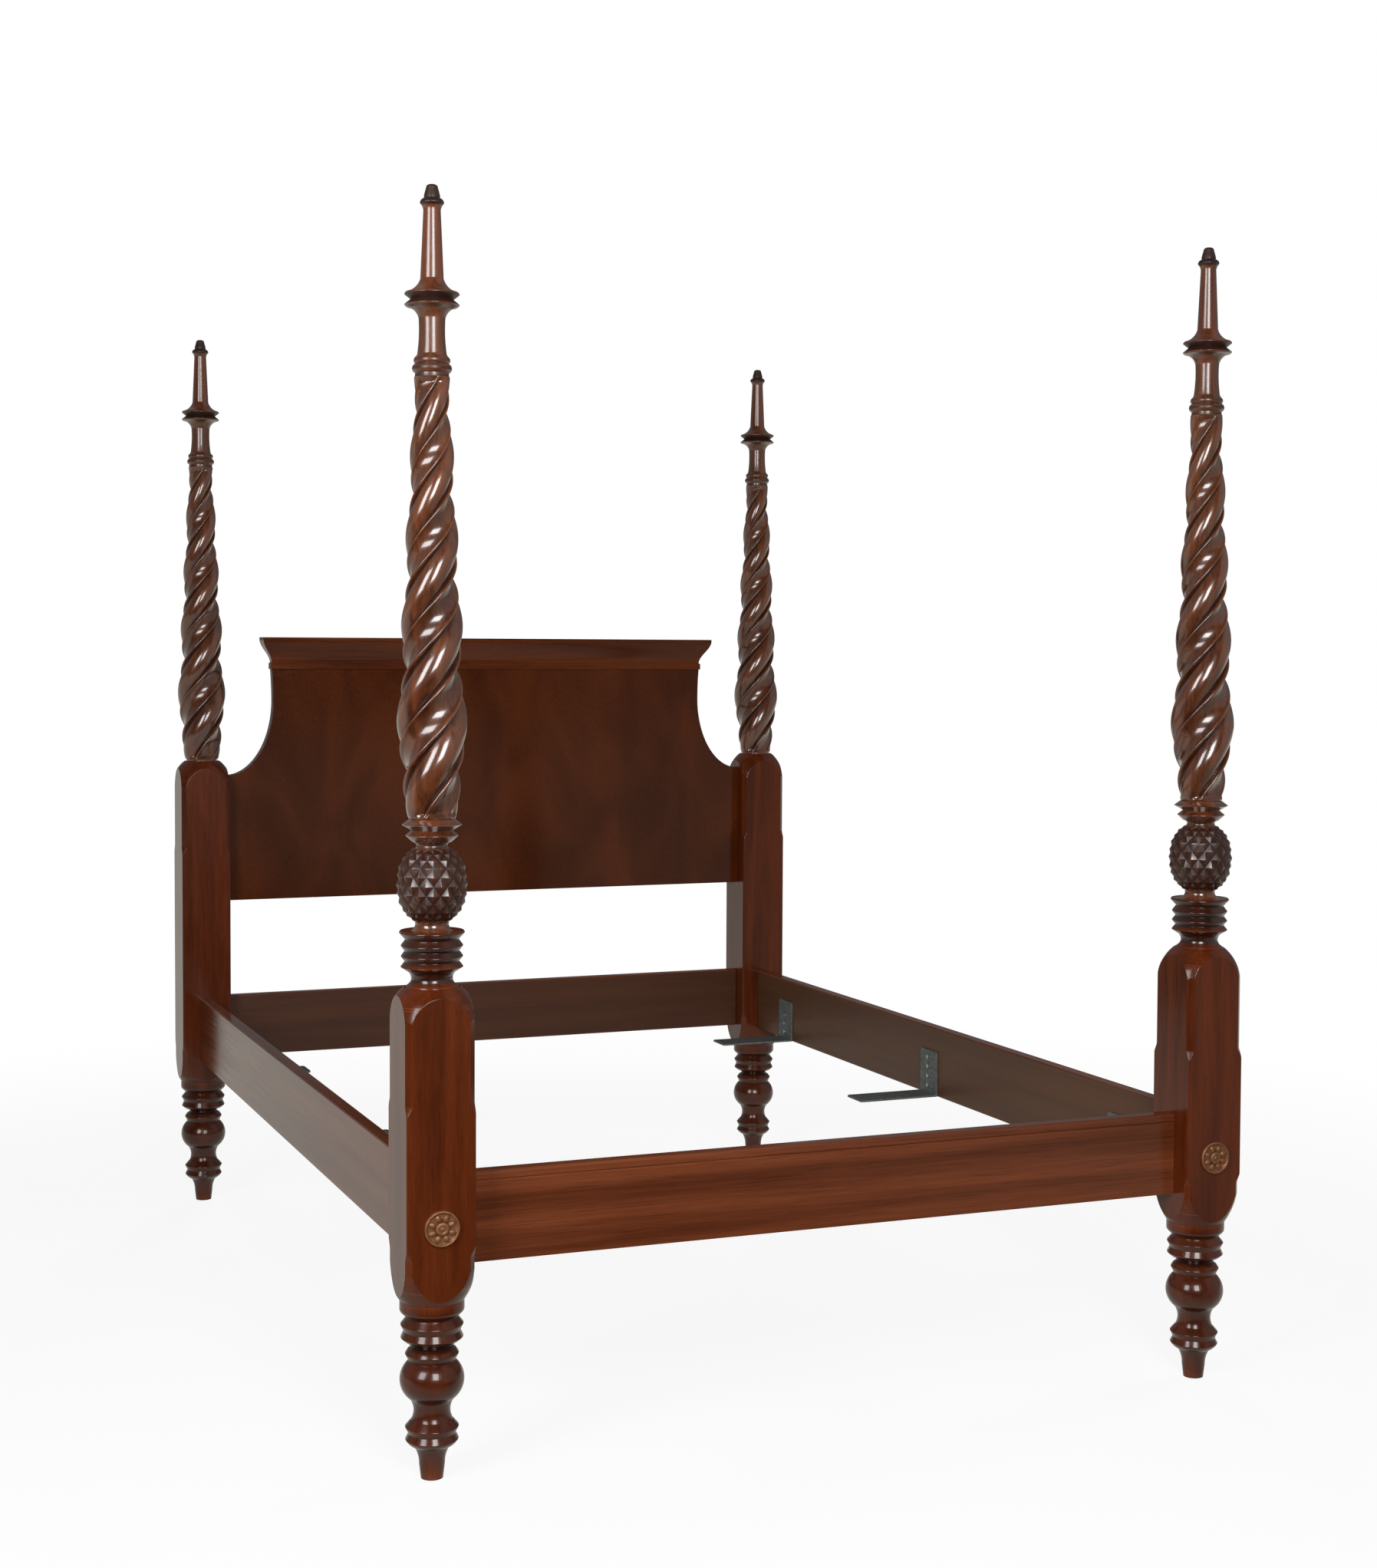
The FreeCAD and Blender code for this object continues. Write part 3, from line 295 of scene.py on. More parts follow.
@dataclass(frozen=True)
class Mahogany:
    """Stained and lacquered mahogany with its grain along one axis.

    The colours are linear: the dark and light of the ribbon figure; what lies in pores and carved recesses,
    which in the recesses is stain and painted shade; what shows on proud edges, which are worn and carry a
    painted highlight; wood that was never lacquered; and paler wood high up on a post, which is partly
    painted light for the better-lit tops.
    """

    name: str
    grain: GrainAxis
    dark: Colour = (0.052, 0.0096, 0.0020)
    light: Colour = (0.112, 0.0212, 0.0048)
    recess: Colour = (0.0060, 0.0019, 0.0012)
    worn: Colour = (0.230, 0.0720, 0.0280)
    bare: Colour = (0.056, 0.0270, 0.0125)
    pale_top_colour: Colour = (0.240, 0.0800, 0.0330)
    pale_top_heights: Span = ABOVE_THE_BED
    soft_heights: Span = ABOVE_THE_BED
    figure_shift: Point = (0.31, 0.17, 0.23)
    pore_shift: Point = (0.11, 0.05, 0.41)
    along_grain: float = 0.07
    ribbon_scale: float = 26.0
    ribbon_detail: float = 2.0
    ribbon_bend: float = 0.6
    ribbon_edges: Span = (0.30, 0.70)
    streak_scale: float = 190.0
    streak_detail: float = 3.0
    streak_bend: float = 0.2
    streak_edges: Span = (0.25, 0.75)
    pore_scale: float = 900.0
    pore_detail: float = 1.0
    pore_edges: Span = (0.58, 0.72)
    chisel_scale: float = 90.0
    chisel_detail: float = 1.0
    streak_share: float = 0.30
    pore_share: float = 0.35
    bare_pore_loss: float = 0.6
    recess_share: float = 0.92
    worn_and_highlight_share: float = 0.30
    bare_share: float = 0.75
    pale_top_share: float = 0.30
    hand_work: float = 0.0
    relief_depth: float = 0.0002
    relief: float = 0.10
    roughness: float = 0.15
    streak_roughness: float = 0.07
    carved_roughness: float = 0.15
    bare_roughness: float = 0.28
    soft_roughness: float = 0.06
    sheen: float = 0.28
    coat: float = 0.05
    carved_coat: float = 0.80
    soft_coat: float = 0.75
    coat_roughness: float = 0.08

    def material(self) -> Finish:
        """Build the finish.

        Returns:
            A procedural material on Object coordinates.
        """
        sheet, made = ShaderSheet.for_finish(self.name)
        stretch = [1.0, 1.0, 1.0]
        stretch[self.grain.value] = self.along_grain
        fine = list(stretch)
        fine[self.grain.value] *= HALF
        place = sheet.stretched(stretch, self.figure_shift)
        pore_place = sheet.stretched(fine, self.pore_shift)
        bed_place = sheet.place()
        height = sheet.axis(bed_place, "Z")

        ribbons = sheet.noise(place, self.ribbon_scale, self.ribbon_detail, self.ribbon_bend)
        ribbon = ribbons.between(*self.ribbon_edges)
        streaks = sheet.noise(place, self.streak_scale, self.streak_detail, self.streak_bend)
        streak = streaks.between(*self.streak_edges)
        pores = sheet.noise(pore_place, self.pore_scale, self.pore_detail).between(*self.pore_edges)
        chisel = sheet.noise(bed_place, self.chisel_scale, self.chisel_detail)
        carving = sheet.marked(RECESS)
        deep = carving.above_zero()
        proud = (0.0 - carving).above_zero()
        bare = sheet.marked(BARE)
        # Paler towards the top of a post: painted light for the better-lit tops, and paler wood there.
        pale_top = height.between(*self.pale_top_heights) * self.pale_top_share
        soft = height.between(*self.soft_heights)

        figure = ribbon * (1 - self.streak_share) + streak * self.streak_share
        wood = sheet.mix(figure, self.dark, self.light)
        toned = sheet.mix(pale_top * (HALF + HALF * figure), wood, self.pale_top_colour)
        unlacquered = sheet.mix(bare * self.bare_share, toned, self.bare)
        open_pores = pores * self.pore_share * (1 - self.bare_pore_loss * bare)
        grained = sheet.mix(open_pores, unlacquered, self.recess)
        # Proud edges lighter: worn, and a painted highlight.
        rubbed_and_highlit = sheet.mix(proud * self.worn_and_highlight_share, grained, self.worn)
        # Carved recesses darker: stain and painted shade, read from the recess mark.
        stained_and_shaded = sheet.mix(deep * self.recess_share, rubbed_and_highlit, self.recess)
        grain_roughness = self.roughness + self.streak_roughness * streak
        worked_roughness = grain_roughness + self.carved_roughness * deep + self.bare_roughness * bare
        lacquer = self.coat + (self.carved_coat - self.coat) * deep
        relief = streak - pores + self.hand_work * chisel
        sheet.surface(
            {
                "Base Color": stained_and_shaded,
                "Roughness": worked_roughness + self.soft_roughness * soft,
                "Normal": sheet.bump(relief, self.relief_depth, self.relief),
                "Specular IOR Level": self.sheen,
                "Coat Weight": lacquer * (1 - (1 - self.soft_coat) * soft),
                "Coat Roughness": self.coat_roughness,
            }
        )
        return made


@dataclass(frozen=True)
class AgedMetal:
    """Metal with a patchy, slightly worn surface."""

    name: str
    bright: Colour
    dull: Colour
    roughness: float
    metallic: float
    shift: Point = (0.07, 0.13, 0.29)
    patch_scale: float = 120.0
    patch_detail: float = 4.0
    patch_bend: float = 0.4
    patch_edges: Span = (0.32, 0.68)
    patch_share: float = 0.7
    speck_scale: float = 900.0
    speck_detail: float = 2.0
    speck_edges: Span = (0.35, 0.70)
    recess_shade: float = 0.22
    recess_share: float = 0.85
    recess_roughness: float = 0.15
    dull_roughness: float = 0.18
    sheen: float = 0.4
    relief_depth: float = 0.0002
    relief: float = 0.10

    def material(self) -> Finish:
        """Build the finish.

        Returns:
            A procedural material on Object coordinates.
        """
        sheet, made = ShaderSheet.for_finish(self.name)
        place = sheet.stretched((1.0, 1.0, 1.0), self.shift)
        patches = sheet.noise(place, self.patch_scale, self.patch_detail, self.patch_bend)
        patch = patches.between(*self.patch_edges)
        speck = sheet.noise(place, self.speck_scale, self.speck_detail).between(*self.speck_edges)
        recess = sheet.marked(RECESS).above_zero()
        tarnish = patch * self.patch_share + speck * (1 - self.patch_share)
        worn = sheet.mix(tarnish, self.bright, self.dull)
        dark = tuple(self.recess_shade * part for part in self.dull)
        sheet.surface(
            {
                "Base Color": sheet.mix(recess * self.recess_share, worn, dark),
                "Metallic": self.metallic,
                "Roughness": self.roughness + self.dull_roughness * tarnish + self.recess_roughness * recess,
                "Normal": sheet.bump(patch + speck, self.relief_depth, self.relief),
                "Specular IOR Level": self.sheen,
            }
        )
        return made


class Bench:
    """Shapes meshes with Blender's operators, one object at a time."""

    @staticmethod
    def clear() -> None:
        """Go to object mode with nothing selected."""
        if bpy.context.mode != "OBJECT":
            bpy.ops.object.mode_set(mode="OBJECT")
        bpy.ops.object.select_all(action="DESELECT")

    @staticmethod
    def named(name: str) -> Piece:
        """Name the object that an operator has just added.

        Args:
            name: the name for the object and its mesh.

        Returns:
            The object.
        """
        piece = bpy.context.object
        piece.name = name
        piece.data.name = name
        return piece

    @staticmethod
    def take(piece: Piece) -> None:
        """Select one object alone and make it the active one.

        Args:
            piece: the object.
        """
        Bench.clear()
        piece.select_set(True)
        bpy.context.view_layer.objects.active = piece

    @staticmethod
    def discard(piece: Piece) -> None:
        """Delete an object that is used up."""
        Bench.take(piece)
        bpy.ops.object.delete()

    @staticmethod
    def edit(piece: Piece, mode: str = "VERT") -> None:
        """Open one object in edit mode with everything selected.

        Args:
            piece: the object.
            mode: what is selected: VERT, EDGE or FACE.
        """
        Bench.take(piece)
        bpy.ops.object.mode_set(mode="EDIT")
        bpy.ops.mesh.select_mode(type=mode)
        bpy.ops.mesh.select_all(action="SELECT")

    @staticmethod
    def pick_edges(piece: Piece, wanted: Callable[[Vector, Vector], bool]) -> None:
        """Open one object in edit mode with some of its edges selected.

        Args:
            piece: the object.
            wanted: tells from an edge's two ends whether it is selected.
        """
        Bench.edit(piece, "EDGE")
        bpy.ops.mesh.select_all(action="DESELECT")
        bpy.ops.object.mode_set(mode="OBJECT")
        points = piece.data.vertices
        for edge in piece.data.edges:
            first, second = edge.vertices
            edge.select = wanted(points[first].co, points[second].co)
        bpy.ops.object.mode_set(mode="EDIT")

    @staticmethod
    def square(name: str, size: float) -> Piece:
        """Add a level square at the origin.

        Args:
            name: the new object's name.
            size: the length of its sides.

        Returns:
            The object, left in edit mode with everything selected.
        """
        Bench.clear()
        bpy.ops.mesh.primitive_plane_add(size=size, location=(0, 0, 0))
        piece = Bench.named(name)
        Bench.edit(piece)
        return piece

    @staticmethod
    def chain(name: str, points: Sequence[Vector]) -> Piece:
        """Draw a chain of edges, one vertex after another.

        Args:
            name: the new object's name.
            points: the chain's places.

        Returns:
            The object, left in edit mode.
        """
        piece = Bench.square(name, 1.0)
        bpy.ops.mesh.merge(type="CENTER")
        bpy.ops.transform.translate(value=points[0])
        for start, end in zip(points, points[1:]):
            bpy.ops.mesh.extrude_vertices_move(TRANSFORM_OT_translate={"value": end - start})
        return piece

    @staticmethod
    def store(piece: Piece, attribute: str, values: Sequence[float]) -> None:
        """Store a value for the finish on each vertex."""
        layer = piece.data.attributes.new(attribute, "FLOAT", "POINT")
        layer.data.foreach_set("value", values)

    @staticmethod
    def mark(piece: Piece, attribute: str, value_at: Callable[[Vector], float]) -> None:
        """Store a value that follows from each vertex's place."""
        Bench.store(piece, attribute, [value_at(vertex.co) for vertex in piece.data.vertices])

    @staticmethod
    def close_up(piece: Piece) -> None:
        """Merge doubled vertices and turn every face outwards.

        Args:
            piece: the object, left in object mode.
        """
        Bench.edit(piece)
        bpy.ops.mesh.remove_doubles(threshold=MERGE_DISTANCE)
        bpy.ops.mesh.normals_make_consistent(inside=False)
        bpy.ops.object.mode_set(mode="OBJECT")

    @staticmethod
    def smooth(piece: Piece, angle: float = SMOOTH_ANGLE) -> None:
        """Shade smooth, except over edges sharper than an angle."""
        Bench.take(piece)
        bpy.ops.object.shade_smooth_by_angle(angle=angle)

    @staticmethod
    def turn(
        name: str, points: Sequence[Vector], steps: int, stain: float = 0.0, stain_from: float = 0.0,
        edge_darkening: float = 0.0,
    ) -> Piece:
        """Turn an outline about the Z axis, as on a lathe.

        Args:
            name: the new object's name.
            points: outline in the XZ plane, from axis to axis, bottom to top.
            steps: faces round the axis.
            stain: how much stain the turned wood has drawn in, besides the darkening of its grooves, which on
                wood is
            stain and painted shade.
            stain_from: height above which it has.
            edge_darkening: how much darker the proud edges are made; where it is 0 they are lightened
                instead, as
            worn edges with a painted highlight.

        Returns:
            The closed, smooth turned object.
        """
        depths = carving_depths(points)
        piece = Bench.chain(name, points)
        bpy.ops.object.mode_set(mode="OBJECT")

        def depth_at(place: Vector) -> float:
            """Depth at the outline point nearest to a vertex.

            Args:
                place: the vertex's place.

            Returns:
                The depth that the finish reads there.
            """
            nearest = min(range(len(points)), key=lambda index: (points[index] - place).length_squared)
            depth = depths[nearest]
            # A depth above 0 darkens grooves, as stain and painted shade; below 0 it lightens proud edges as
            # worn edges with a painted highlight, unless they are to be darker.
            if depth < 0 < edge_darkening:
                depth *= -edge_darkening
            return min(1.0, depth + (stain if place.z >= stain_from else 0.0))

        Bench.mark(piece, RECESS, depth_at)
        Bench.edit(piece)
        bpy.ops.mesh.spin(steps=steps, angle=FULL_TURN, center=(0, 0, 0), axis=(0, 0, 1))
        Bench.close_up(piece)
        Bench.smooth(piece)
        return piece

    @staticmethod
    def levels(name: str, steps: Sequence[tuple[float, float, float]], centre: Span = (0, 0)) -> Piece:
        """Raise a rectangle through levels, resizing it at each one.

        Args:
            name: the new object's name.
            steps: height, half width and half depth of every level, bottom to top.
            centre: X and Y that the rectangle is resized about.

        Returns:
            The closed block.
        """
        low, width, depth = steps[0]
        piece = Bench.square(name, 2.0)
        bpy.ops.transform.resize(value=(width, depth, 1.0), center_override=(0, 0, 0))
        bpy.ops.transform.translate(value=(*centre, low))
        for (z, width, depth), (next_z, next_width, next_depth) in zip(steps, steps[1:]):
            bpy.ops.mesh.extrude_region_move(TRANSFORM_OT_translate={"value": (0, 0, next_z - z)})
            ratio = (next_width / width, next_depth / depth, 1.0)
            bpy.ops.transform.resize(value=ratio, center_override=(*centre, next_z))
        Bench.close_up(piece)
        return piece

    @staticmethod
    def sheet_block(name: str, points: Sequence[Vector], run: Vector) -> Piece:
        """Fill a closed outline and extrude it.

        Args:
            name: the new object's name.
            points: the outline's corners in order.
            run: the way and length that it is extruded.

        Returns:
            The closed prism.
        """
        piece = Bench.chain(name, [*points, points[0]])
        bpy.ops.mesh.select_all(action="SELECT")
        bpy.ops.mesh.remove_doubles(threshold=MERGE_DISTANCE)
        bpy.ops.mesh.edge_face_add()
        bpy.ops.mesh.extrude_region_move(TRANSFORM_OT_translate={"value": run})
        Bench.close_up(piece)
        return piece

    @staticmethod
    def modify(piece: Piece, kind: str, **settings: Any) -> None:
        """Add a modifier to an object and apply it.

        Args:
            piece: the object.
            kind: Blender's name of the modifier.
            settings: the modifier's own settings.
        """
        Bench.take(piece)
        bpy.ops.object.modifier_add(type=kind)
        modifier = piece.modifiers[-1]
        for name, value in settings.items():
            setattr(modifier, name, value)
        bpy.ops.object.modifier_apply(modifier=modifier.name)

    @staticmethod
    def cut(piece: Piece, tool: Piece, kind: Cut) -> None:
        """Cut one object with another, which is used up."""
        Bench.modify(piece, "BOOLEAN", operation=kind.value, object=tool, solver="EXACT")
        Bench.discard(tool)

    @staticmethod
    def bevel(piece: Piece, width: float, segments: int = 2, angle: float = BEVEL_ANGLE) -> None:
        """Round the edges that are sharper than an angle.

        Args:
            piece: the object.
            width: the bevel's width.
            segments: faces across the bevel.
            angle: sharper edges are rounded.
        """
        Bench.modify(
            piece, "BEVEL", width=width, segments=segments, limit_method="ANGLE", angle_limit=angle,
            use_clamp_overlap=False,
        )

    @staticmethod
    def ease(piece: Piece, width: float, segments: int = 2) -> None:
        """Round the sharp edges, and shade smooth with every flat face kept flat.

        Args:
            piece: the object.
            width: the bevel's width.
            segments: faces across the bevel.
        """
        Bench.bevel(piece, width, segments)
        Bench.smooth(piece)
        Bench.modify(piece, "WEIGHTED_NORMAL", weight=FLAT_FACE_WEIGHT, keep_sharp=True)

    @staticmethod
    def joined(name: str, pieces: Sequence[Piece]) -> Piece:
        """Join objects into the first one.

        Args:
            name: the joined object's name.
            pieces: the objects.

        Returns:
            The joined object.
        """
        Bench.take(pieces[0])
        for piece in pieces:
            piece.select_set(True)
        bpy.ops.object.join()
        return Bench.named(name)

    @staticmethod
    def copy(piece: Piece, name: str, matrix: Matrix) -> Piece:
        """Copy an object together with its mesh, and put the copy's place into its mesh.

        Args:
            piece: the object, which stands at the origin.
            name: the copy's name.
            matrix: where the copy goes.

        Returns:
            The copy.
        """
        Bench.take(piece)
        bpy.ops.object.duplicate(linked=False)
        made = Bench.named(name)
        Bench.place(made, matrix)
        return made

    @staticmethod
    def place(piece: Piece, matrix: Matrix) -> None:
        """Move an object and put its place into its mesh.

        Args:
            piece: the object.
            matrix: where it goes.
        """
        Bench.take(piece)
        piece.matrix_world = matrix
        bpy.ops.object.transform_apply(location=True, rotation=True, scale=True)


def at(radius: float, z: float) -> Vector:
    """Point of an outline in the XZ plane."""
    return Vector((radius, 0, z))


def shares(count: int) -> list[float]:
    """Even shares from 0 to 1, both among them."""
    return [index / count for index in range(count + 1)]


@dataclass(frozen=True)
class Turning:
    """A turned outline at its size and height."""

    outline: OutlineShares
    radius: float
    height: float
    base: float
    tip_round: float = 0.0012
    valley_round_share: float = 0.35

    def points(self) -> list[Vector]:
        """Draw the outline in the XZ plane, from axis to axis.

        Returns:
            Its points, with arcs drawn out and corners softened.
        """
        line = [self._place(*self.outline[0])]
        for step in self.outline[1:]:
            *middle, radius_share, height_share = step
            end = self._place(radius_share, height_share)
            if middle:
                line += arc_through(line[-1], self._place(*middle), end)
            elif end.x < ON_AXIS:
                line += dome(line[-1], end)
            else:
                line.append(end)
        low = [at(0, line[0].z)]
        high = [at(0, line[-1].z)] if line[-1].x > ON_AXIS else []
        return low + softened(line, self.tip_round, self.tip_round * self.valley_round_share) + high

    def _place(self, radius_share: float, height_share: float) -> Vector:
        """Point of the outline from its shares."""
        return at(radius_share * self.radius, self.base + height_share * self.height)


def arc_through(start: Vector, middle: Vector, end: Vector) -> list[Vector]:
    """Points of an arc in the XZ plane.

    Args:
        start: where it starts; not among the points returned.
        middle: a point that it passes through.
        end: where it ends.

    Returns:
        Points along the arc, the last of them the end.
    """
    middle_x, middle_z = middle.x - start.x, middle.z - start.z
    end_x, end_z = end.x - start.x, end.z - start.z
    middle_square = middle_x ** 2 + middle_z ** 2
    end_square = end_x ** 2 + end_z ** 2
    area = 2 * (middle_x * end_z - middle_z * end_x)
    centre_x = start.x + (end_z * middle_square - middle_z * end_square) / area
    centre_z = start.z + (middle_x * end_square - end_x * middle_square) / area
    centre = at(centre_x, centre_z)
    angles = [math.atan2(point.z - centre.z, point.x - centre.x) for point in (start, middle, end)]
    sweep = (angles[2] - angles[0]) % FULL_TURN
    if (angles[1] - angles[0]) % FULL_TURN > sweep:
        sweep -= FULL_TURN
    radius = (start - centre).length
    count = max(ARC_STEPS, math.ceil(radius * abs(sweep) / ARC_SPACING))
    turns = [angles[0] + sweep * share for share in shares(count)[1:]]
    return [centre + radius * at(math.cos(turn), math.sin(turn)) for turn in turns]


def dome(start: Vector, end: Vector) -> list[Vector]:
    """Points of a quarter curve that rises upright from start and lies level at end."""
    return bend(start, at(start.x, end.z), end, DOME_STEPS)[1:]


def bend(start: Vector, knee: Vector, end: Vector, count: int) -> list[Vector]:
    """Points of a curve that is drawn to its knee."""
    return [start * (1 - way) ** 2 + knee * (2 * (1 - way) * way) + end * way ** 2 for way in shares(count)]


def softened(line: Sequence[Vector], tip_round: float, valley_round: float) -> list[Vector]:
    """Round the corners of an outline.

    Args:
        line: the outline in the XZ plane, bottom to top, with the wood on the axis side.
        tip_round: how far the round of an outward corner reaches.
        valley_round: how far the round of an inward corner reaches.

    Returns:
        The outline with a short curve in place of each corner.
    """
    result = [line[0]]
    for before, corner, after in zip(line, line[1:], line[2:]):
        into = corner - before
        out = after - corner
        if into.angle(out) < CORNER_ANGLE:
            result.append(corner)
            continue
        is_tip = into.x * out.z - into.z * out.x > 0
        reach = tip_round if is_tip else valley_round
        back = corner - into.normalized() * min(reach, CORNER_REACH * into.length)
        ahead = corner + out.normalized() * min(reach, CORNER_REACH * out.length)
        result += bend(back, corner, ahead, CORNER_STEPS)
    return [*result, line[-1]]


def carving_depths(points: Sequence[Vector], reach: float = 0.008, full_depth: float = 0.006) -> list[float]:
    """How deep each point of a turned outline lies below its neighbours, or how proud it stands.

    Args:
        points: the outline.
        reach: how far along the axis the neighbours are.
        full_depth: what counts as wholly in a groove or on an edge.

    Returns:
        A depth from -1 on an edge to 1 in a groove for each point.
    """
    depths = []
    for point in points:
        above = [other.x for other in points if 0 <= other.z - point.z < reach]
        below = [other.x for other in points if 0 <= point.z - other.z < reach]
        drop = min(max(above), max(below)) - point.x
        stand = point.x - max(min(above), min(below))
        depths.append(min(1.0, max(-1.0, (drop - max(0.0, stand)) / full_depth)))
    return depths


def smooth_rise(share: float) -> float:
    """S-shaped rise from 0 to 1 for a share, which is kept between them."""
    kept = min(1.0, max(0.0, share))
    return kept * kept * (3 - 2 * kept)


def settle(piece: Piece, body: str, node: str, material: Finish) -> None:
    """Dress a finished piece and give it its place in the frame.

    Args:
        piece: the finished object.
        body: the body that it moves with.
        node: the node that it stands for.
        material: its finish.
    """
    piece.data.materials.clear()
    piece.data.materials.append(material)
    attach(piece, body)
    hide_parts(node)
    log.info("%s: %d faces", piece.name, len(piece.data.polygons))


def node_centre(node: str) -> Vector:
    """Centre of a node's box."""
    low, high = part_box(node)
    return (low + high) * HALF


@dataclass(frozen=True)
class Corner:
    """One corner of the bed."""

    side: str
    end: End

    @property
    def name(self) -> str:
        """The corner's name in the frame."""
        return f"{self.side}_{self.end.value}"

    def axis(self) -> Matrix:
        """Move from the origin to the post's axis."""
        centre = node_centre(f"{self.name}_finial")
        return Matrix.Translation((centre.x, centre.y, 0))


CORNERS = [Corner(side, end) for end in End for side in SIDES]


def corners_at(end: End) -> list[Corner]:
    """The two corners at one end of the bed."""
    return [corner for corner in CORNERS if corner.end is end]


def stand_copies(
    pattern: Piece, corners: Sequence[Corner], part: str, work: str, material: Finish, body: str = "frame"
) -> None:
    """Stand copies of a turned pattern at corners of the bed, and use the pattern up.

    Args:
        pattern: the piece, modelled about the Z axis.
        corners: where copies stand.
        part: what the node is called after its corner's name.
        work: how the piece was made, which ends its name.
        material: the copies' finish.
        body: the body that they move with; {} stands for the corner's name.
    """
    for corner in corners:
        node = f"{corner.name}_{part}"
        piece = Bench.copy(pattern, f"{node}_{work}", corner.axis())
        settle(piece, body.format(corner.name), node, material)
    Bench.discard(pattern)


@dataclass
class LowerPosts:
    """Turned legs, square blocks with turned shoulders, and the ringed necks of the foot posts."""

    leg_height: float = 0.287
    leg_radius: float = 0.0515
    block_half: float = 0.05625
    chamfer: float = 0.0095
    stop_height: float = 0.020
    arris: float = 0.0013
    shoulder_clear: float = 0.0003
    square_low: float = 0.360
    foot_square_high: float = 0.607
    head_square_high: float = 0.848
    foot_block_top: float = 0.784
    head_block_top: float = 1.044
    foot_neck_height: float = 0.089
    foot_neck_radius: float = 0.052
    head_neck_height: float = 0.003
    head_neck_radius: float = 0.043
    lower_shoulder_height: float = 0.058
    foot_shoulder_height: float = 0.053
    head_shoulder_height: float = 0.061
    rim_radius: float = 0.044
    lower_middle: Span = (0.554, 0.38)
    upper_middle: Span = (0.654, 0.42)
    bolt_height: float = 0.4115
    bore_radius: float = 0.013
    bore_depth: float = 0.024
    bore_steps: int = 48
    arris_round: float = 0.0007
    leg_stain: float = 0.36
    neck_stain: float = 0.72
    steps_round: int = 96
    shoulder_steps: int = 128
    stop_steps: int = 8

    def build(self, material: Finish) -> None:
        """Model a foot post and a head post, and stand copies at the corners.

        Args:
            material: the posts' finish.
        """
        for end in End:
            stand_copies(self._post(end), corners_at(end), "lower_post", "turned", material)

    def _post(self, end: End) -> Piece:
        """Model one post about the Z axis.

        Args:
            end: the end of the bed that it is for.

        Returns:
            The post: its block, leg and neck.
        """
        leg = Turning(LEG_SHARES, self.leg_radius, self.leg_height, 0)
        leg_piece = Bench.turn("leg", leg.points(), self.steps_round, self.leg_stain)
        if end is End.FOOT:
            top = self.foot_block_top
            block = self._block(top, self.foot_square_high, self.foot_shoulder_height)
            neck = Turning(FOOT_NECK_SHARES, self.foot_neck_radius, self.foot_neck_height, top)
            face = -self.block_half
        else:
            top = self.head_block_top
            block = self._block(top, self.head_square_high, self.head_shoulder_height)
            neck = Turning(HEAD_NECK_SHARES, self.head_neck_radius, self.head_neck_height, top)
            face = self.block_half
        Bench.cut(block, self._bolt_bore(face), Cut.TAKE_AWAY)
        Bench.ease(block, self.arris_round)
        neck_piece = Bench.turn("neck", neck.points(), self.steps_round, self.neck_stain)
        return Bench.joined("post", [block, leg_piece, neck_piece])

    def _block(self, top: float, square_high: float, shoulder_height: float) -> Piece:
        """Model the square block, with stopped chamfers and with shoulders turned round at both ends.

        Args:
            top: height of the block's top.
            square_high: where the chamfers above the rails begin.
            shoulder_height: how tall its upper shoulder is.

        Returns:
            The block, with sharp edges.
        """
        half = self.block_half
        block = Bench.levels("block", [(self.leg_height, half, half), (top, half, half)])
        Bench.cut(block, self._chamfers(top, square_high), Cut.KEEP_INSIDE)
        outline = self._shoulders(top, shoulder_height)
        Bench.cut(block, Bench.turn("shoulders", outline, self.shoulder_steps), Cut.KEEP_INSIDE)
        return block

    def _chamfers(self, top: float, square_high: float) -> Piece:
        """Model the bar, set cornerwise to the block, whose faces cut the chamfers.

        Args:
            top: height of the block's top.
            square_high: where the chamfers above the rails begin.

        Returns:
            The bar, longer than the block.
        """
        narrow = (2 * self.block_half - self.chamfer) / math.sqrt(2)
        wide = self.block_half * math.sqrt(2) - self.arris
        steps = [(self.leg_height - self.stop_height, narrow, narrow)]
        for start, is_widening in ((self.square_low, True), (square_high - self.stop_height, False)):
            for share in shares(self.stop_steps):
                swell = smooth_rise(share if is_widening else 1 - share)
                reach = narrow + (wide - narrow) * swell
                steps.append((start + self.stop_height * share, reach, reach))
        steps.append((top + self.stop_height, narrow, narrow))
        bar = Bench.levels("chamfers", steps)
        Bench.place(bar, Matrix.Rotation(QUARTER_TURN * HALF, 4, "Z"))
        return bar

    def _shoulders(self, top: float, shoulder_height: float) -> list[Vector]:
        """Outline of the turned body that rounds both ends of a block.

        Args:
            top: height of the block's top.
            shoulder_height: how tall its upper shoulder is.

        Returns:
            The outline's points, from axis to axis, bottom to top.
        """
        corner = math.hypot(self.block_half, self.block_half - self.chamfer) + self.shoulder_clear
        clear = self.block_half * 2
        low = self.leg_height + self.lower_shoulder_height
        high = top - shoulder_height

        def middle(radius: float, z: float, rise: float, middle_shares: Span) -> Vector:
            """Point that a shoulder's round passes through, at shares of its way out and of its height."""
            return at(radius + middle_shares[0] * (corner - radius), z + middle_shares[1] * rise)

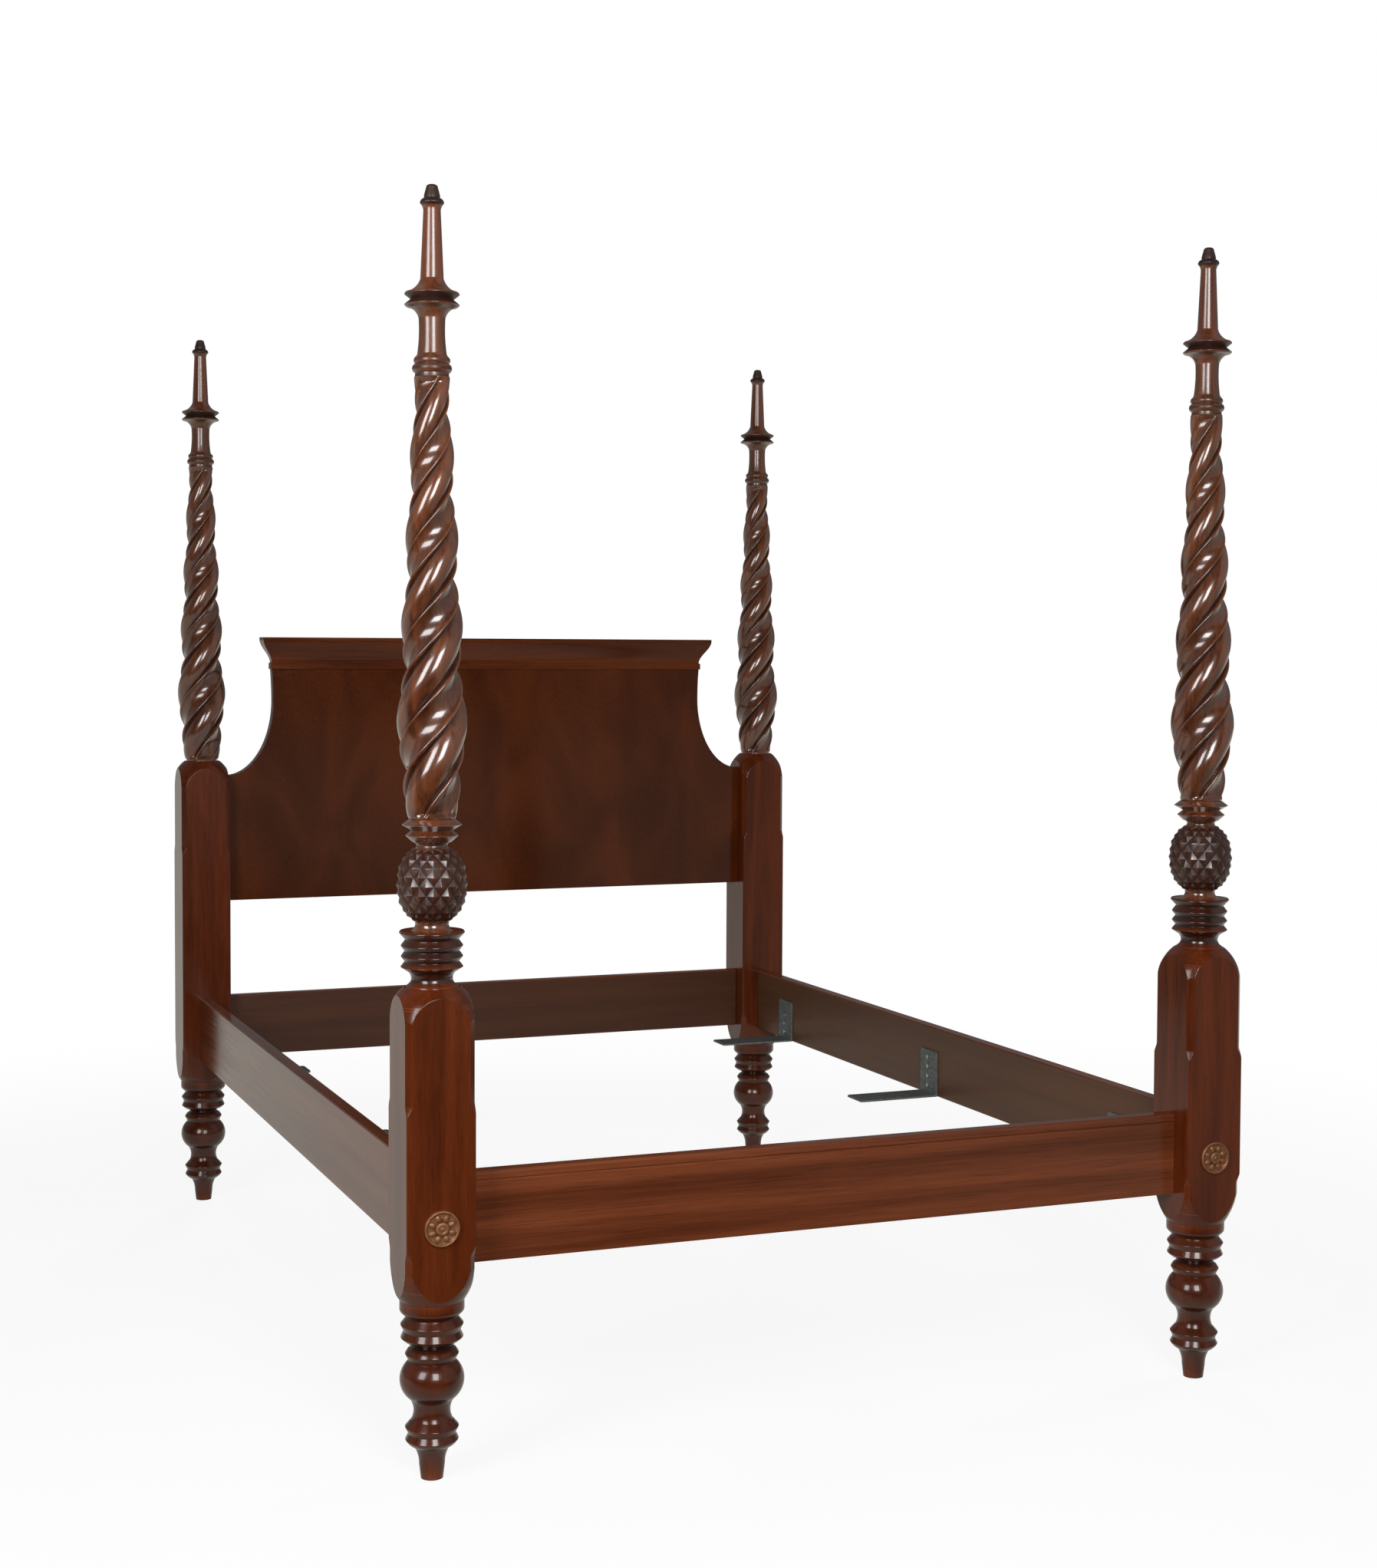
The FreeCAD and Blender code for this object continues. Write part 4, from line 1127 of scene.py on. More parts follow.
        start = at(self.leg_radius, self.leg_height)
        lower_middle = middle(start.x, start.z, self.lower_shoulder_height, self.lower_middle)
        end = at(self.rim_radius, top)
        upper_middle = middle(end.x, end.z, -shoulder_height, self.upper_middle)
        line = [at(0, self.leg_height), start]
        line += arc_through(start, lower_middle, at(corner, low))
        line += [at(clear, low), at(clear, high), at(corner, high)]
        line += arc_through(line[-1], upper_middle, end)
        return [*line, at(0, top)]

    def _bolt_bore(self, face: float) -> Piece:
        """Rod that cuts the recess for the bolt's head.

        Args:
            face: Y of the block's outer face.

        Returns:
            The rod, half of it in the block.
        """
        Bench.clear()
        bpy.ops.mesh.primitive_cylinder_add(
            vertices=self.bore_steps, radius=self.bore_radius, depth=2 * self.bore_depth,
            location=(0, face, self.bolt_height), rotation=(QUARTER_TURN, 0, 0),
        )
        return Bench.named("bolt_bore")


@dataclass
class UpperPosts:
    """Rope-twist posts with a turned neck above; the foot posts carry a carved pineapple below.

    A strand's darkening towards its grooves, which is stain and painted shade, and its lightening on the
    crown, worn and with a painted highlight, each start at a share of the outer radius and grow full over a
    span of it.
    Crowding pairs shares of the even columns in a quarter turn with the degrees that they move to.
    """

    foot_base: float = 0.873
    head_base: float = 1.047
    foot_stem_height: float = 0.015
    foot_stem_radius: float = 0.034
    head_stem_radius: float = 0.035
    pineapple_height: float = 0.115
    pineapple_radius: float = 0.0565
    bulge_power: float = 2.4
    end_share: float = 0.91
    scales_round: int = 14
    scale_rows: int = 12
    scale_depth: float = 0.005
    scale_edge_round: float = 0.0009
    scale_edge_angle: float = math.radians(8)
    scale_smooth_angle: float = math.radians(24)
    scale_stain: float = 0.35
    scale_stain_and_shade_from: float = 0.10
    scale_stain_and_shade_span: float = 0.75
    collar_height: float = 0.0465
    collar_radius: float = 0.0476
    twist_low: float = 1.0495
    twist_height: float = 0.6885
    twist_radius: float = 0.056
    twist_foot_radius: float = 0.0365
    twist_top_radius: float = 0.0278
    twist_smooth_angle: float = math.radians(28)
    belly_share: float = 0.1895
    taper_power: float = 1.085
    bulb_power: float = 0.75
    half_turn_at_top: float = 0.124
    half_turn_gain: float = 0.037
    half_turn_span: float = 0.550
    front_strand_below_top: float = 0.0445
    strand_end: float = math.radians(47)
    strand_stain_and_shade_from: float = 0.87
    strand_stain_and_shade_span: float = 0.11
    strand_wear_and_highlight: float = 0.5
    strand_wear_and_highlight_from: float = 0.95
    strand_wear_and_highlight_span: float = 0.05
    groove_drop_share: float = 0.24
    groove_fade_share: float = 0.014
    bead_middle: float = math.radians(54.3)
    bead_centre_share: float = 0.845
    bead_radius_share: float = 0.062
    bead_foot_stain_and_shade: float = 0.5
    bead_stain_and_shade: float = 0.3
    bead_wear_and_highlight: float = 0.9
    hollow_drop_share: float = 0.30
    hollow_stain_and_shade: float = 0.15
    hollow_corner: float = math.radians(5)
    hollow_corner_stain_and_shade: float = 0.35
    top_neck_height: float = 0.120
    top_neck_radius: float = 0.0433
    neck_stain: float = 0.2
    edge_darkening: float = 0.9
    crowding: tuple[Span, ...] = ((0.0, 0.0), (0.35, 46.0), (0.82, 61.0), (1.0, 90.0))
    columns: int = 152
    first_cuts: int = 16
    second_cuts: int = 18
    steps_round: int = 96

    def build(self, material: Finish) -> None:
        """Model a foot post and a head post, and stand copies at the corners.

        Args:
            material: the posts' finish.
        """
        for end in End:
            stand_copies(self._post(end), corners_at(end), "upper_post", "twist", material)

    def _post(self, end: End) -> Piece:
        """Model one post about the Z axis.

        Args:
            end: the end of the bed that it is for.

        Returns:
            The post: its twist, top neck and what carries them.
        """
        twist = self._twist()
        top_neck = Turning(TOP_NECK_SHARES, self.top_neck_radius, self.top_neck_height, self._twist_top())
        top_piece = Bench.turn(
            "top_neck", top_neck.points(), self.steps_round, self.neck_stain, edge_darkening=self.edge_darkening
        )
        shells = [twist, top_piece]
        if end is End.FOOT:
            pineapple_low = self.foot_base + self.foot_stem_height
            collar_low = pineapple_low + self.pineapple_height
            stem = Turning(FOOT_STEM_SHARES, self.foot_stem_radius, self.foot_stem_height, self.foot_base)
            collar = Turning(COLLAR_SHARES, self.collar_radius, self.collar_height, collar_low)
            shells.append(Bench.turn("collar", collar.points(), self.steps_round))
            shells.append(self._pineapple(pineapple_low))
        else:
            stem_height = self.twist_low - self.head_base
            stem = Turning(HEAD_STEM_SHARES, self.head_stem_radius, stem_height, self.head_base)
        shells.append(Bench.turn("stem", stem.points(), self.steps_round))
        return Bench.joined("post", shells)

    def _twist_top(self) -> float:
        """Height of the twist's top."""
        return self.twist_low + self.twist_height

    def _twist_radius(self, z: float) -> float:
        """Outer radius of the twist: a long taper upwards and a round bulb downwards.

        Args:
            z: height on the post.

        Returns:
            The radius there.
        """
        belly = self.twist_low + self.belly_share * self.twist_height
        if z >= belly:
            rise = (z - belly) / (self._twist_top() - belly)
            return self.twist_radius - (self.twist_radius - self.twist_top_radius) * rise ** self.taper_power
        drop = min(1.0, (belly - z) / (belly - self.twist_low))
        fullness = (1 - drop ** 2) ** self.bulb_power
        return self.twist_foot_radius + (self.twist_radius - self.twist_foot_radius) * fullness

    def _twist_angle(self, z: float) -> float:
        """Turn of the strands: each half turn grows taller towards the foot of the twist.

        Args:
            z: height on the post.

        Returns:
            The angle of the strands there.
        """
        rate = math.sqrt(self.half_turn_gain / self.half_turn_at_top)
        scale = math.pi * self.half_turn_span / math.sqrt(self.half_turn_at_top * self.half_turn_gain)
        here = math.atan(rate * (self._twist_top() - z) / self.half_turn_span)
        front = math.atan(rate * self.front_strand_below_top / self.half_turn_span)
        return scale * (front - here) - QUARTER_TURN

    def _groove_strength(self, z: float) -> float:
        """How fully the grooves are cut: they run out to a plain round at both ends."""
        rise = (z - self.twist_low) / self.twist_height
        return smooth_rise(min(rise, 1 - rise) / self.groove_fade_share)

    def _section(self, away: float) -> tuple[float, float]:
        """Section of the twist where its grooves are fully cut.

        Args:
            away: angle from the middle of the nearer strand, from 0 to a quarter turn.

        Returns:
            The radius as a share of the outer radius, and how much darker the finish is there, from -1 to 1:
            above 0 is stain and painted shade towards the grooves and in the hollow, below 0 is a worn crown
            with a painted highlight.
        """
        groove = 1 - self.groove_drop_share
        bead_half = math.asin(self.bead_radius_share / self.bead_centre_share)
        bead_start = self.bead_middle - bead_half
        bead_end = self.bead_middle + bead_half
        side = math.sqrt(self.bead_centre_share ** 2 - self.bead_radius_share ** 2)
        if away <= self.strand_end:
            centre = (1 - groove ** 2) / (2 * (1 - groove * math.cos(self.strand_end)))
            share = self._far_side(centre, 1 - centre, away)
            # Darker down the strand's sides towards the grooves: stain and painted shade; lighter on its
            # crown: worn, with a painted highlight.
            stain = smooth_rise((self.strand_stain_and_shade_from - share) / self.strand_stain_and_shade_span)
            worn_and_highlit = smooth_rise((share - self.strand_wear_and_highlight_from) / self.strand_wear_and_highlight_span)
            return share, stain - self.strand_wear_and_highlight * worn_and_highlit
        if away < bead_start:
            # Darkest at the groove's bottom, less up to the bead's foot: stain and painted shade.
            climb = (away - self.strand_end) / (bead_start - self.strand_end)
            return groove + (side - groove) * climb, 1 - (1 - self.bead_foot_stain_and_shade) * climb
        if away <= bead_end:
            share = self._far_side(self.bead_centre_share, self.bead_radius_share, away - self.bead_middle)
            # The bead's top is lighter: worn, with a painted highlight.
            worn_and_highlit = smooth_rise((share - side) / (self.bead_radius_share * HALF))
            return share, self.bead_stain_and_shade - self.bead_wear_and_highlight * worn_and_highlit
        from_middle = QUARTER_TURN - away
        middle = 1 - self.hollow_drop_share
        chord = side * math.cos(QUARTER_TURN - bead_end)
        centre = (side ** 2 - middle ** 2) / (2 * (chord - middle))
        reach = math.sqrt((centre - middle) ** 2 - (centre * math.sin(from_middle)) ** 2)
        # The hollow is darker, most in its corners by the beads: stain and painted shade.
        corner = smooth_rise(1 - (away - bead_end) / self.hollow_corner)
        return centre * math.cos(from_middle) - reach, self.hollow_stain_and_shade + self.hollow_corner_stain_and_shade * corner

    @staticmethod
    def _far_side(centre: float, radius: float, angle: float) -> float:
        """Distance along a ray to the far side of a circle, whose centre lies at an angle from the ray."""
        aside = centre * math.sin(angle)
        return centre * math.cos(angle) + math.sqrt(max(0.0, radius ** 2 - aside ** 2))

    def _crowded(self, angle: float) -> float:
        """Move an even column towards the beads, where the section bends most.

        Args:
            angle: the even column's angle.

        Returns:
            The angle that the column moves to.
        """
        turn = math.floor(angle / QUARTER_TURN)
        share = angle / QUARTER_TURN - turn
        is_mirrored = turn % 2 == 1
        if is_mirrored:
            share = 1 - share
        for (low, low_angle), (high, high_angle) in zip(self.crowding, self.crowding[1:]):
            if low <= share <= high:
                moved = math.radians(low_angle + (high_angle - low_angle) * (share - low) / (high - low))
        return QUARTER_TURN * turn + (QUARTER_TURN - moved if is_mirrored else moved)

    def _twist(self) -> Piece:
        """Model the rope twist from a cylinder cut into many short levels.

        Returns:
            The twist about the Z axis.
        """
        Bench.clear()
        bpy.ops.mesh.primitive_cylinder_add(vertices=self.columns, radius=1.0, depth=1.0, location=(0, 0, 0))
        piece = Bench.named("twist")
        for cuts in (self.first_cuts, self.second_cuts):
            Bench.pick_edges(piece, lambda first, second: abs(first.z - second.z) > MERGE_DISTANCE)
            bpy.ops.mesh.subdivide(number_cuts=cuts)
        bpy.ops.object.mode_set(mode="OBJECT")
        depths = []
        for vertex in piece.data.vertices:
            angle = self._crowded(math.atan2(vertex.co.y, vertex.co.x) % FULL_TURN)
            z = self.twist_low + (vertex.co.z + HALF) * self.twist_height
            away = angle % math.pi
            share, depth = self._section(min(away, math.pi - away))
            strength = self._groove_strength(z)
            radius = self._twist_radius(z) * (1 - strength * (1 - share))
            turned = angle + self._twist_angle(z)
            vertex.co = (radius * math.cos(turned), radius * math.sin(turned), z)
            depths.append(depth * strength)
        Bench.store(piece, RECESS, depths)
        Bench.close_up(piece)
        Bench.smooth(piece, self.twist_smooth_angle)
        return piece

    def _body_radius(self, level_share: float) -> float:
        """Radius of the pineapple's body at a share of its half height, from -1 to 1."""
        fall = abs(self.end_share * level_share) ** self.bulge_power
        return self.pineapple_radius * (1 - fall) ** (1 / self.bulge_power)

    def _lattice(self, middle: float) -> tuple[list[Vector], list[tuple[int, ...]]]:
        """Lattice of the pineapple: each scale is a low pyramid between four points of the grooves.

        Args:
            middle: height of the pineapple's middle.

        Returns:
            The lattice's points and faces.
        """
        count = self.scales_round
        last = self.scale_rows
        levels = [math.sin((share - HALF) * math.pi) for share in shares(last)]
        points: list[Vector] = []
        faces: list[tuple[int, ...]] = []

        def add_ring(row: int, shift: float, depth: float) -> int:
            """Add a ring of points to a row.

            Args:
                row: the row's number.
                shift: how far the ring is turned, in scales.
                depth: how far it lies below the body's own round.

            Returns:
                The number of the ring's first point.
            """
            radius = self._body_radius(levels[row]) - depth
            z = middle + levels[row] * self.pineapple_height * HALF
            for index in range(count):
                angle = FULL_TURN * (index + shift + (row % 2) * HALF) / count
                points.append(Vector((radius * math.cos(angle), radius * math.sin(angle), z)))
            return len(points) - count

        grooves = [add_ring(row, 0, 0 if row in (0, last) else self.scale_depth) for row in range(last + 1)]
        tops = [add_ring(row, HALF, 0) for row in range(1, last)]
        for row in range(1, last):
            for index in range(count):
                between = (index + row % 2) % count
                left = grooves[row] + index
                right = grooves[row] + (index + 1) % count
                high = grooves[row + 1] + between
                low = grooves[row - 1] + between
                top = tops[row - 1] + index
                for first, second in ((low, right), (right, high), (high, left), (left, low)):
                    faces.append((first, second, top))
        for end_row, next_row in ((0, 1), (last, last - 1)):
            faces.append(tuple(grooves[end_row] + index for index in range(count)))
            for index in range(count):
                left = grooves[end_row] + index
                right = grooves[end_row] + (index + 1) % count
                faces.append((left, right, grooves[next_row] + index))
        return points, faces

    def _pineapple(self, base: float) -> Piece:
        """Model the pineapple, whose lattice has no operator of its own and is written point by point.

        Args:
            base: height of its underside.

        Returns:
            The carved pineapple about the Z axis.
        """
        half = self.pineapple_height * HALF
        middle = base + half
        points, faces = self._lattice(middle)
        mesh = bpy.data.meshes.new("pineapple")
        mesh.from_pydata(points, [], faces)
        piece = bpy.data.objects.new("pineapple", mesh)
        bpy.context.scene.collection.objects.link(piece)
        Bench.close_up(piece)
        Bench.bevel(piece, self.scale_edge_round, 2, self.scale_edge_angle)

        def depth_at(place: Vector) -> float:
            """Darkening at a vertex, by how far it lies below the body's own round: stain, with painted shade
            in the grooves.

            Args:
                place: the vertex's place.

            Returns:
                The depth that the finish reads there.
            """
            level = min(1.0, max(-1.0, (place.z - middle) / half))
            below = self._body_radius(level) - math.hypot(place.x, place.y)
            # Darker deeper in the grooves between scales: stain and painted shade.
            rise = smooth_rise((below / self.scale_depth - self.scale_stain_and_shade_from) / self.scale_stain_and_shade_span)
            return self.scale_stain + (1 - self.scale_stain) * rise

        Bench.mark(piece, RECESS, depth_at)
        Bench.smooth(piece, self.scale_smooth_angle)
        return piece


@dataclass
class Finials:
    """Tapering finials with small caps, which lift off on their pins."""

    low: float = 1.8582
    height: float = 0.178
    radius: float = 0.0433
    cap_share: float = 0.815
    cap_stain: float = 0.85
    edge_darkening: float = 0.9
    steps_round: int = 96

    def build(self, material: Finish) -> None:
        """Turn one finial and stand copies on the posts.

        Args:
            material: the finials' finish.
        """
        outline = Turning(FINIAL_SHARES, self.radius, self.height, self.low).points()
        cap_low = self.low + self.cap_share * self.height
        pattern = Bench.turn("finial", outline, self.steps_round, self.cap_stain, cap_low, self.edge_darkening)
        stand_copies(pattern, CORNERS, "finial", "turned", material, "{}_top")


@dataclass
class Rails:
    """Foot rail with a beaded top, plain head rail and two side rails."""

    edge_round: float = 0.003
    edge_steps: int = 4
    bead_height: float = 0.013
    bead_round: float = 0.005
    bead_steps: int = 8
    quirk_width: float = 0.0034
    quirk_depth: float = 0.0024
    quirk_round: float = 0.0007
    thickness: float = 0.027

    def build(self, along_x: Finish, along_y: Finish) -> None:
        """Model the four rails between the faces of their posts.

        Args:
            along_x: finish of the foot rail and the head rail.
            along_y: finish of the side rails.
        """
        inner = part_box("left_foot_lower_post")[1].x
        for side in SIDES:
            node = f"{side}_side_rail"
            low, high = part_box(node)
            self._plain_rail(node, low, high, along_y, Vector((-math.copysign(1, low.x), 0, 0)))
        low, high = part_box("head_rail")
        low.x, high.x = inner, -inner
        self._plain_rail("head_rail", low, high, along_x, Vector((0, -1, 0)))
        section = self._bead_section(inner, *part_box("foot_rail"))
        rail = Bench.sheet_block("foot_rail_beaded", section, Vector((-2 * inner, 0, 0)))
        Bench.ease(rail, self.quirk_round)
        settle(rail, "frame", "foot_rail", along_x)

    def _plain_rail(self, node: str, low: Vector, high: Vector, material: Finish, inwards: Vector) -> None:
        """Model a board with rounded edges, lacquered on all sides but the inner one.

        Args:
            node: the rail's name.
            low: lowest corner of the board.
            high: highest corner of the board.
            material: its finish.
            inwards: the way that its bare face looks.
        """
        half = (high - low) * HALF
        centre = (high + low) * HALF
        steps = [(z, half.x, half.y) for z in (low.z, high.z)]
        rail = Bench.levels(f"{node}_planed", steps, (centre.x, centre.y))
        Bench.ease(rail, self.edge_round, self.edge_steps)
        bare_face = abs(half.dot(inwards)) - MERGE_DISTANCE
        Bench.mark(rail, BARE, lambda place: float((place - centre).dot(inwards) > bare_face))
        settle(rail, "frame", node, material)

    def _bead_section(self, x: float, low: Vector, high: Vector) -> list[Vector]:
        """Section of the foot rail: its front has a quirk under the bead.

        Args:
            x: where the section stands.
            low: lowest corner of the rail's box.
            high: highest corner of the rail's box.

        Returns:
            The section's corners in order.
        """
        middle = (low.y + high.y) * HALF
        front = middle - self.thickness * HALF
        back = middle + self.thickness * HALF
        quirk_top = high.z - self.bead_height
        quirk_low = quirk_top - self.quirk_width
        corners = [
            (back, low.z),
            (front, low.z),
            (front, quirk_low),
            (front + self.quirk_depth, (quirk_low + quirk_top) * HALF),
            (front, quirk_top),
        ]
        for share in shares(self.bead_steps):
            turn = QUARTER_TURN * share
            across = front + self.bead_round * (1 - math.cos(turn))
            corners.append((across, high.z - self.bead_round * (1 - math.sin(turn))))
        corners.append((back, high.z))
        return [Vector((x, y, z)) for y, z in corners]


@dataclass
class Headboard:
    """Panel with a scoop at each side, and a moulded crest along its top."""

    thickness: float = 0.024
    housed_half: float = 0.67275
    post_half: float = 0.65875
    low: float = 0.7135
    scoop_low: float = 1.0115
    scoop_height: float = 0.178
    scoop_depth: float = 0.1115
    scoop_steps: int = 36
    flare: float = 0.003
    flare_steps: int = 8
    edge_round: float = 0.0012
    edge_steps: int = 3
    crest_low: float = 1.2635
    crest_height: float = 0.076
    crest_projection: float = 0.025
    band_height: float = 0.015
    band_projection: float = 0.003
    ogee_steps: int = 24
    fillet_height: float = 0.004
    fillet_round: float = 0.0008

    def build(self, panel_wood: Finish, crest_wood: Finish) -> None:
        """Model the panel and the crest in the head posts' plane.

        Args:
            panel_wood: the panel's finish.
            crest_wood: the crest's finish.
        """
        back = node_centre("left_head_finial").y + self.thickness * HALF
        right = self._right_edge()
        left = [at(-point.x, point.z) for point in reversed(right)]
        outline = [point + Vector((0, back - self.thickness, 0)) for point in right + left]
        panel = Bench.sheet_block("headboard_panel_sawn", outline, Vector((0, self.thickness, 0)))
        Bench.ease(panel, self.edge_round, self.edge_steps)
        settle(panel, "frame", "headboard_panel", panel_wood)
        settle(self._crest(back), "frame", "headboard_crest", crest_wood)

    def _neck_half(self) -> float:
        """Half the panel's width at the top of the scoops."""
        return self.post_half - self.scoop_depth

    def _right_edge(self) -> list[Vector]:
        """Right half of the panel's outline.

        Returns:
            Its points in the XZ plane, bottom to top.
        """
        scoop_top = self.scoop_low + self.scoop_height
        neck = self._neck_half()
        edge = [at(self.housed_half, self.low), at(self.housed_half, self.scoop_low)]
        for share in shares(self.scoop_steps):
            turn = QUARTER_TURN * share
            across = self.post_half - self.scoop_depth * math.sin(turn)
            edge.append(at(across, scoop_top - self.scoop_height * math.cos(turn)))
        knee = at(neck, (scoop_top + self.crest_low) * HALF)
        end = at(neck + self.flare, self.crest_low)
        return edge + bend(at(neck, scoop_top), knee, end, self.flare_steps)[1:]

    def _crest(self, back: float) -> Piece:
        """Raise the crest's outline level by level, with its back kept flat.

        Args:
            back: Y of the flat back.

        Returns:
            The crest, with mitred returns.
        """
        base = self._neck_half() + self.flare
        top = self.crest_low + self.crest_height
        band_top = self.crest_low + self.band_height
        fillet_low = top - self.fillet_height
        outline = [
            (self.crest_low, self.band_projection),
            (band_top, self.band_projection),
            (band_top, 0.0),
        ]
        for share in shares(self.ogee_steps)[1:]:
            swell = HALF * (1 - math.cos(math.pi * share))
            outline.append((band_top + (fillet_low - band_top) * share, self.crest_projection * swell))
        outline.append((top, self.crest_projection))
        steps = [(z, base + out, self.thickness + out) for z, out in outline]
        crest = Bench.levels("headboard_crest_moulded", steps, (0, back))
        Bench.edit(crest)
        bpy.ops.mesh.bisect(plane_co=(0, back, 0), plane_no=(0, 1, 0), clear_outer=True, use_fill=True)
        Bench.close_up(crest)
        Bench.ease(crest, self.fillet_round)
        return crest


@dataclass
class BoltCovers:
    """Round bolt covers with a raised rim, a ring of petals and a boss."""

    radius: float = 0.0285
    rise: float = 0.008
    tip_round: float = 0.0005
    steps_round: int = 96
    petals: int = 8
    petal_ring: float = 0.0172
    petal_size: Point = (0.0066, 0.0050, 0.0034)
    petal_faces: tuple[int, int] = (20, 12)
    beads: int = 32
    bead_ring: float = 0.0242
    bead_size: Point = (0.0011, 0.0011, 0.0011)
    bead_faces: tuple[int, int] = (10, 6)
    dish_height: float = 0.0023
    stain_share: float = 0.45
    drop_smooth_angle: float = math.radians(60)

    def build(self, material: Finish) -> None:
        """Model one cover and hang a copy on each foot post.

        Args:
            material: the covers' finish.
        """
        pattern = self._cover()
        turn = Matrix.Rotation(QUARTER_TURN, 4, "X")
        for side in SIDES:
            node = f"{side}_bolt_cover"
            centre = node_centre(node)
            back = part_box(node)[1].y
            where = Matrix.Translation((centre.x, back, centre.z)) @ turn
            piece = Bench.copy(pattern, f"{node}_cast", where)
            settle(piece, f"{side}_cover", node, material)
        Bench.discard(pattern)

    def _cover(self) -> Piece:
        """Model one cover about the Z axis, standing on its back.

        Returns:
            The cover: its disc, petals and beads.
        """
        outline = Turning(COVER_SHARES, self.radius, self.rise, 0, self.tip_round)
        shells = [Bench.turn("disc", outline.points(), self.steps_round)]
        shells += self._drops("petal", self.petals, self.petal_ring, self.petal_size, self.petal_faces)
        shells += self._drops("bead", self.beads, self.bead_ring, self.bead_size, self.bead_faces)
        return Bench.joined("cover", shells)

    def _drops(self, name: str, count: int, ring: float, size: Point, faces: tuple[int, int]) -> list[Piece]:
        """Model one raised drop, and set copies of it on a ring round the boss.

        Args:
            name: the new objects' name.
            count: how many stand on the ring.
            ring: distance from the boss.
            size: half its length, half its width and its rise.
            faces: faces round the drop, and from pole to pole.

        Returns:
            The drops, in their places.
        """
        Bench.clear()
        bpy.ops.mesh.primitive_uv_sphere_add(
            segments=faces[0], ring_count=faces[1], radius=1.0, location=(0, 0, 0)
        )
        pattern = Bench.named(name)
        Bench.mark(pattern, RECESS, lambda place: smooth_rise(1 - place.z / self.stain_share))
        Bench.edit(pattern)
        bpy.ops.transform.resize(value=size, center_override=(0, 0, 0))
        bpy.ops.transform.translate(value=(ring, 0, self.dish_height))
        Bench.smooth(pattern, self.drop_smooth_angle)
        turns = [Matrix.Rotation(FULL_TURN * (index + HALF) / count, 4, "Z") for index in range(count)]
        drops = [Bench.copy(pattern, name, turn) for turn in turns]
        Bench.discard(pattern)
        return drops


@dataclass
class Hardware:
    """Steel, brass and dowels that keep their own solids."""

    bracket_places: tuple[str, ...] = ("foot", "middle", "head")
    bright_nodes: tuple[str, ...] = ("bed_bolts", "bolt_washers", "barrel_nuts", "bracket_screws")

    def dress(self, dark_steel: Finish, bright_steel: Finish, brass: Finish, wood: Finish) -> None:
        """Give every kept node its finish.

        Args:
            dark_steel: finish of the angle brackets and the finial pins.
            bright_steel: finish of the bolts, nuts, washers and screws.
            brass: finish of the cover pins.
            wood: finish of the dowels.
        """
        for side in SIDES:
            for place in self.bracket_places:
                self._paint(f"{side}_{place}_bracket", dark_steel)
            self._paint(f"{side}_cover_pin", brass)
        for corner in CORNERS:
            self._paint(f"{corner.name}_finial_pin", dark_steel)
        for node in self.bright_nodes:
            self._paint(node, bright_steel)
        self._paint("rail_dowels", wood)

    @staticmethod
    def _paint(node: str, material: Finish) -> None:
        """Put one finish on a node.

        Args:
            node: the node's name.
            material: the finish.
        """
        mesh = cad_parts[node].data
        mesh.materials.clear()
        mesh.materials.append(material)
        log.info("%s: %s", node, material.name)


@dataclass(frozen=True)
class Softbox:
    """A tall soft lamp. A fill brightens the wood and isn't mirrored in the lacquer."""

    name: str
    place: Point
    target: Point
    power: float
    is_fill: bool = False
    width: float = 1.3
    height: float = 2.0

    def hang(self) -> None:
        """Hang the lamp so that it faces its target."""
        lamp = bpy.data.lights.new(self.name, "AREA")
        lamp.shape = "RECTANGLE"
        lamp.size = self.width
        lamp.size_y = self.height
        lamp.energy = self.power
        holder = bpy.data.objects.new(self.name, lamp)
        bpy.context.scene.collection.objects.link(holder)
        holder.location = self.place
        way = Vector(self.target) - Vector(self.place)
        holder.rotation_mode = "QUATERNION"
        holder.rotation_quaternion = way.to_track_quat("-Z", "Y")
        holder.visible_glossy = not self.is_fill


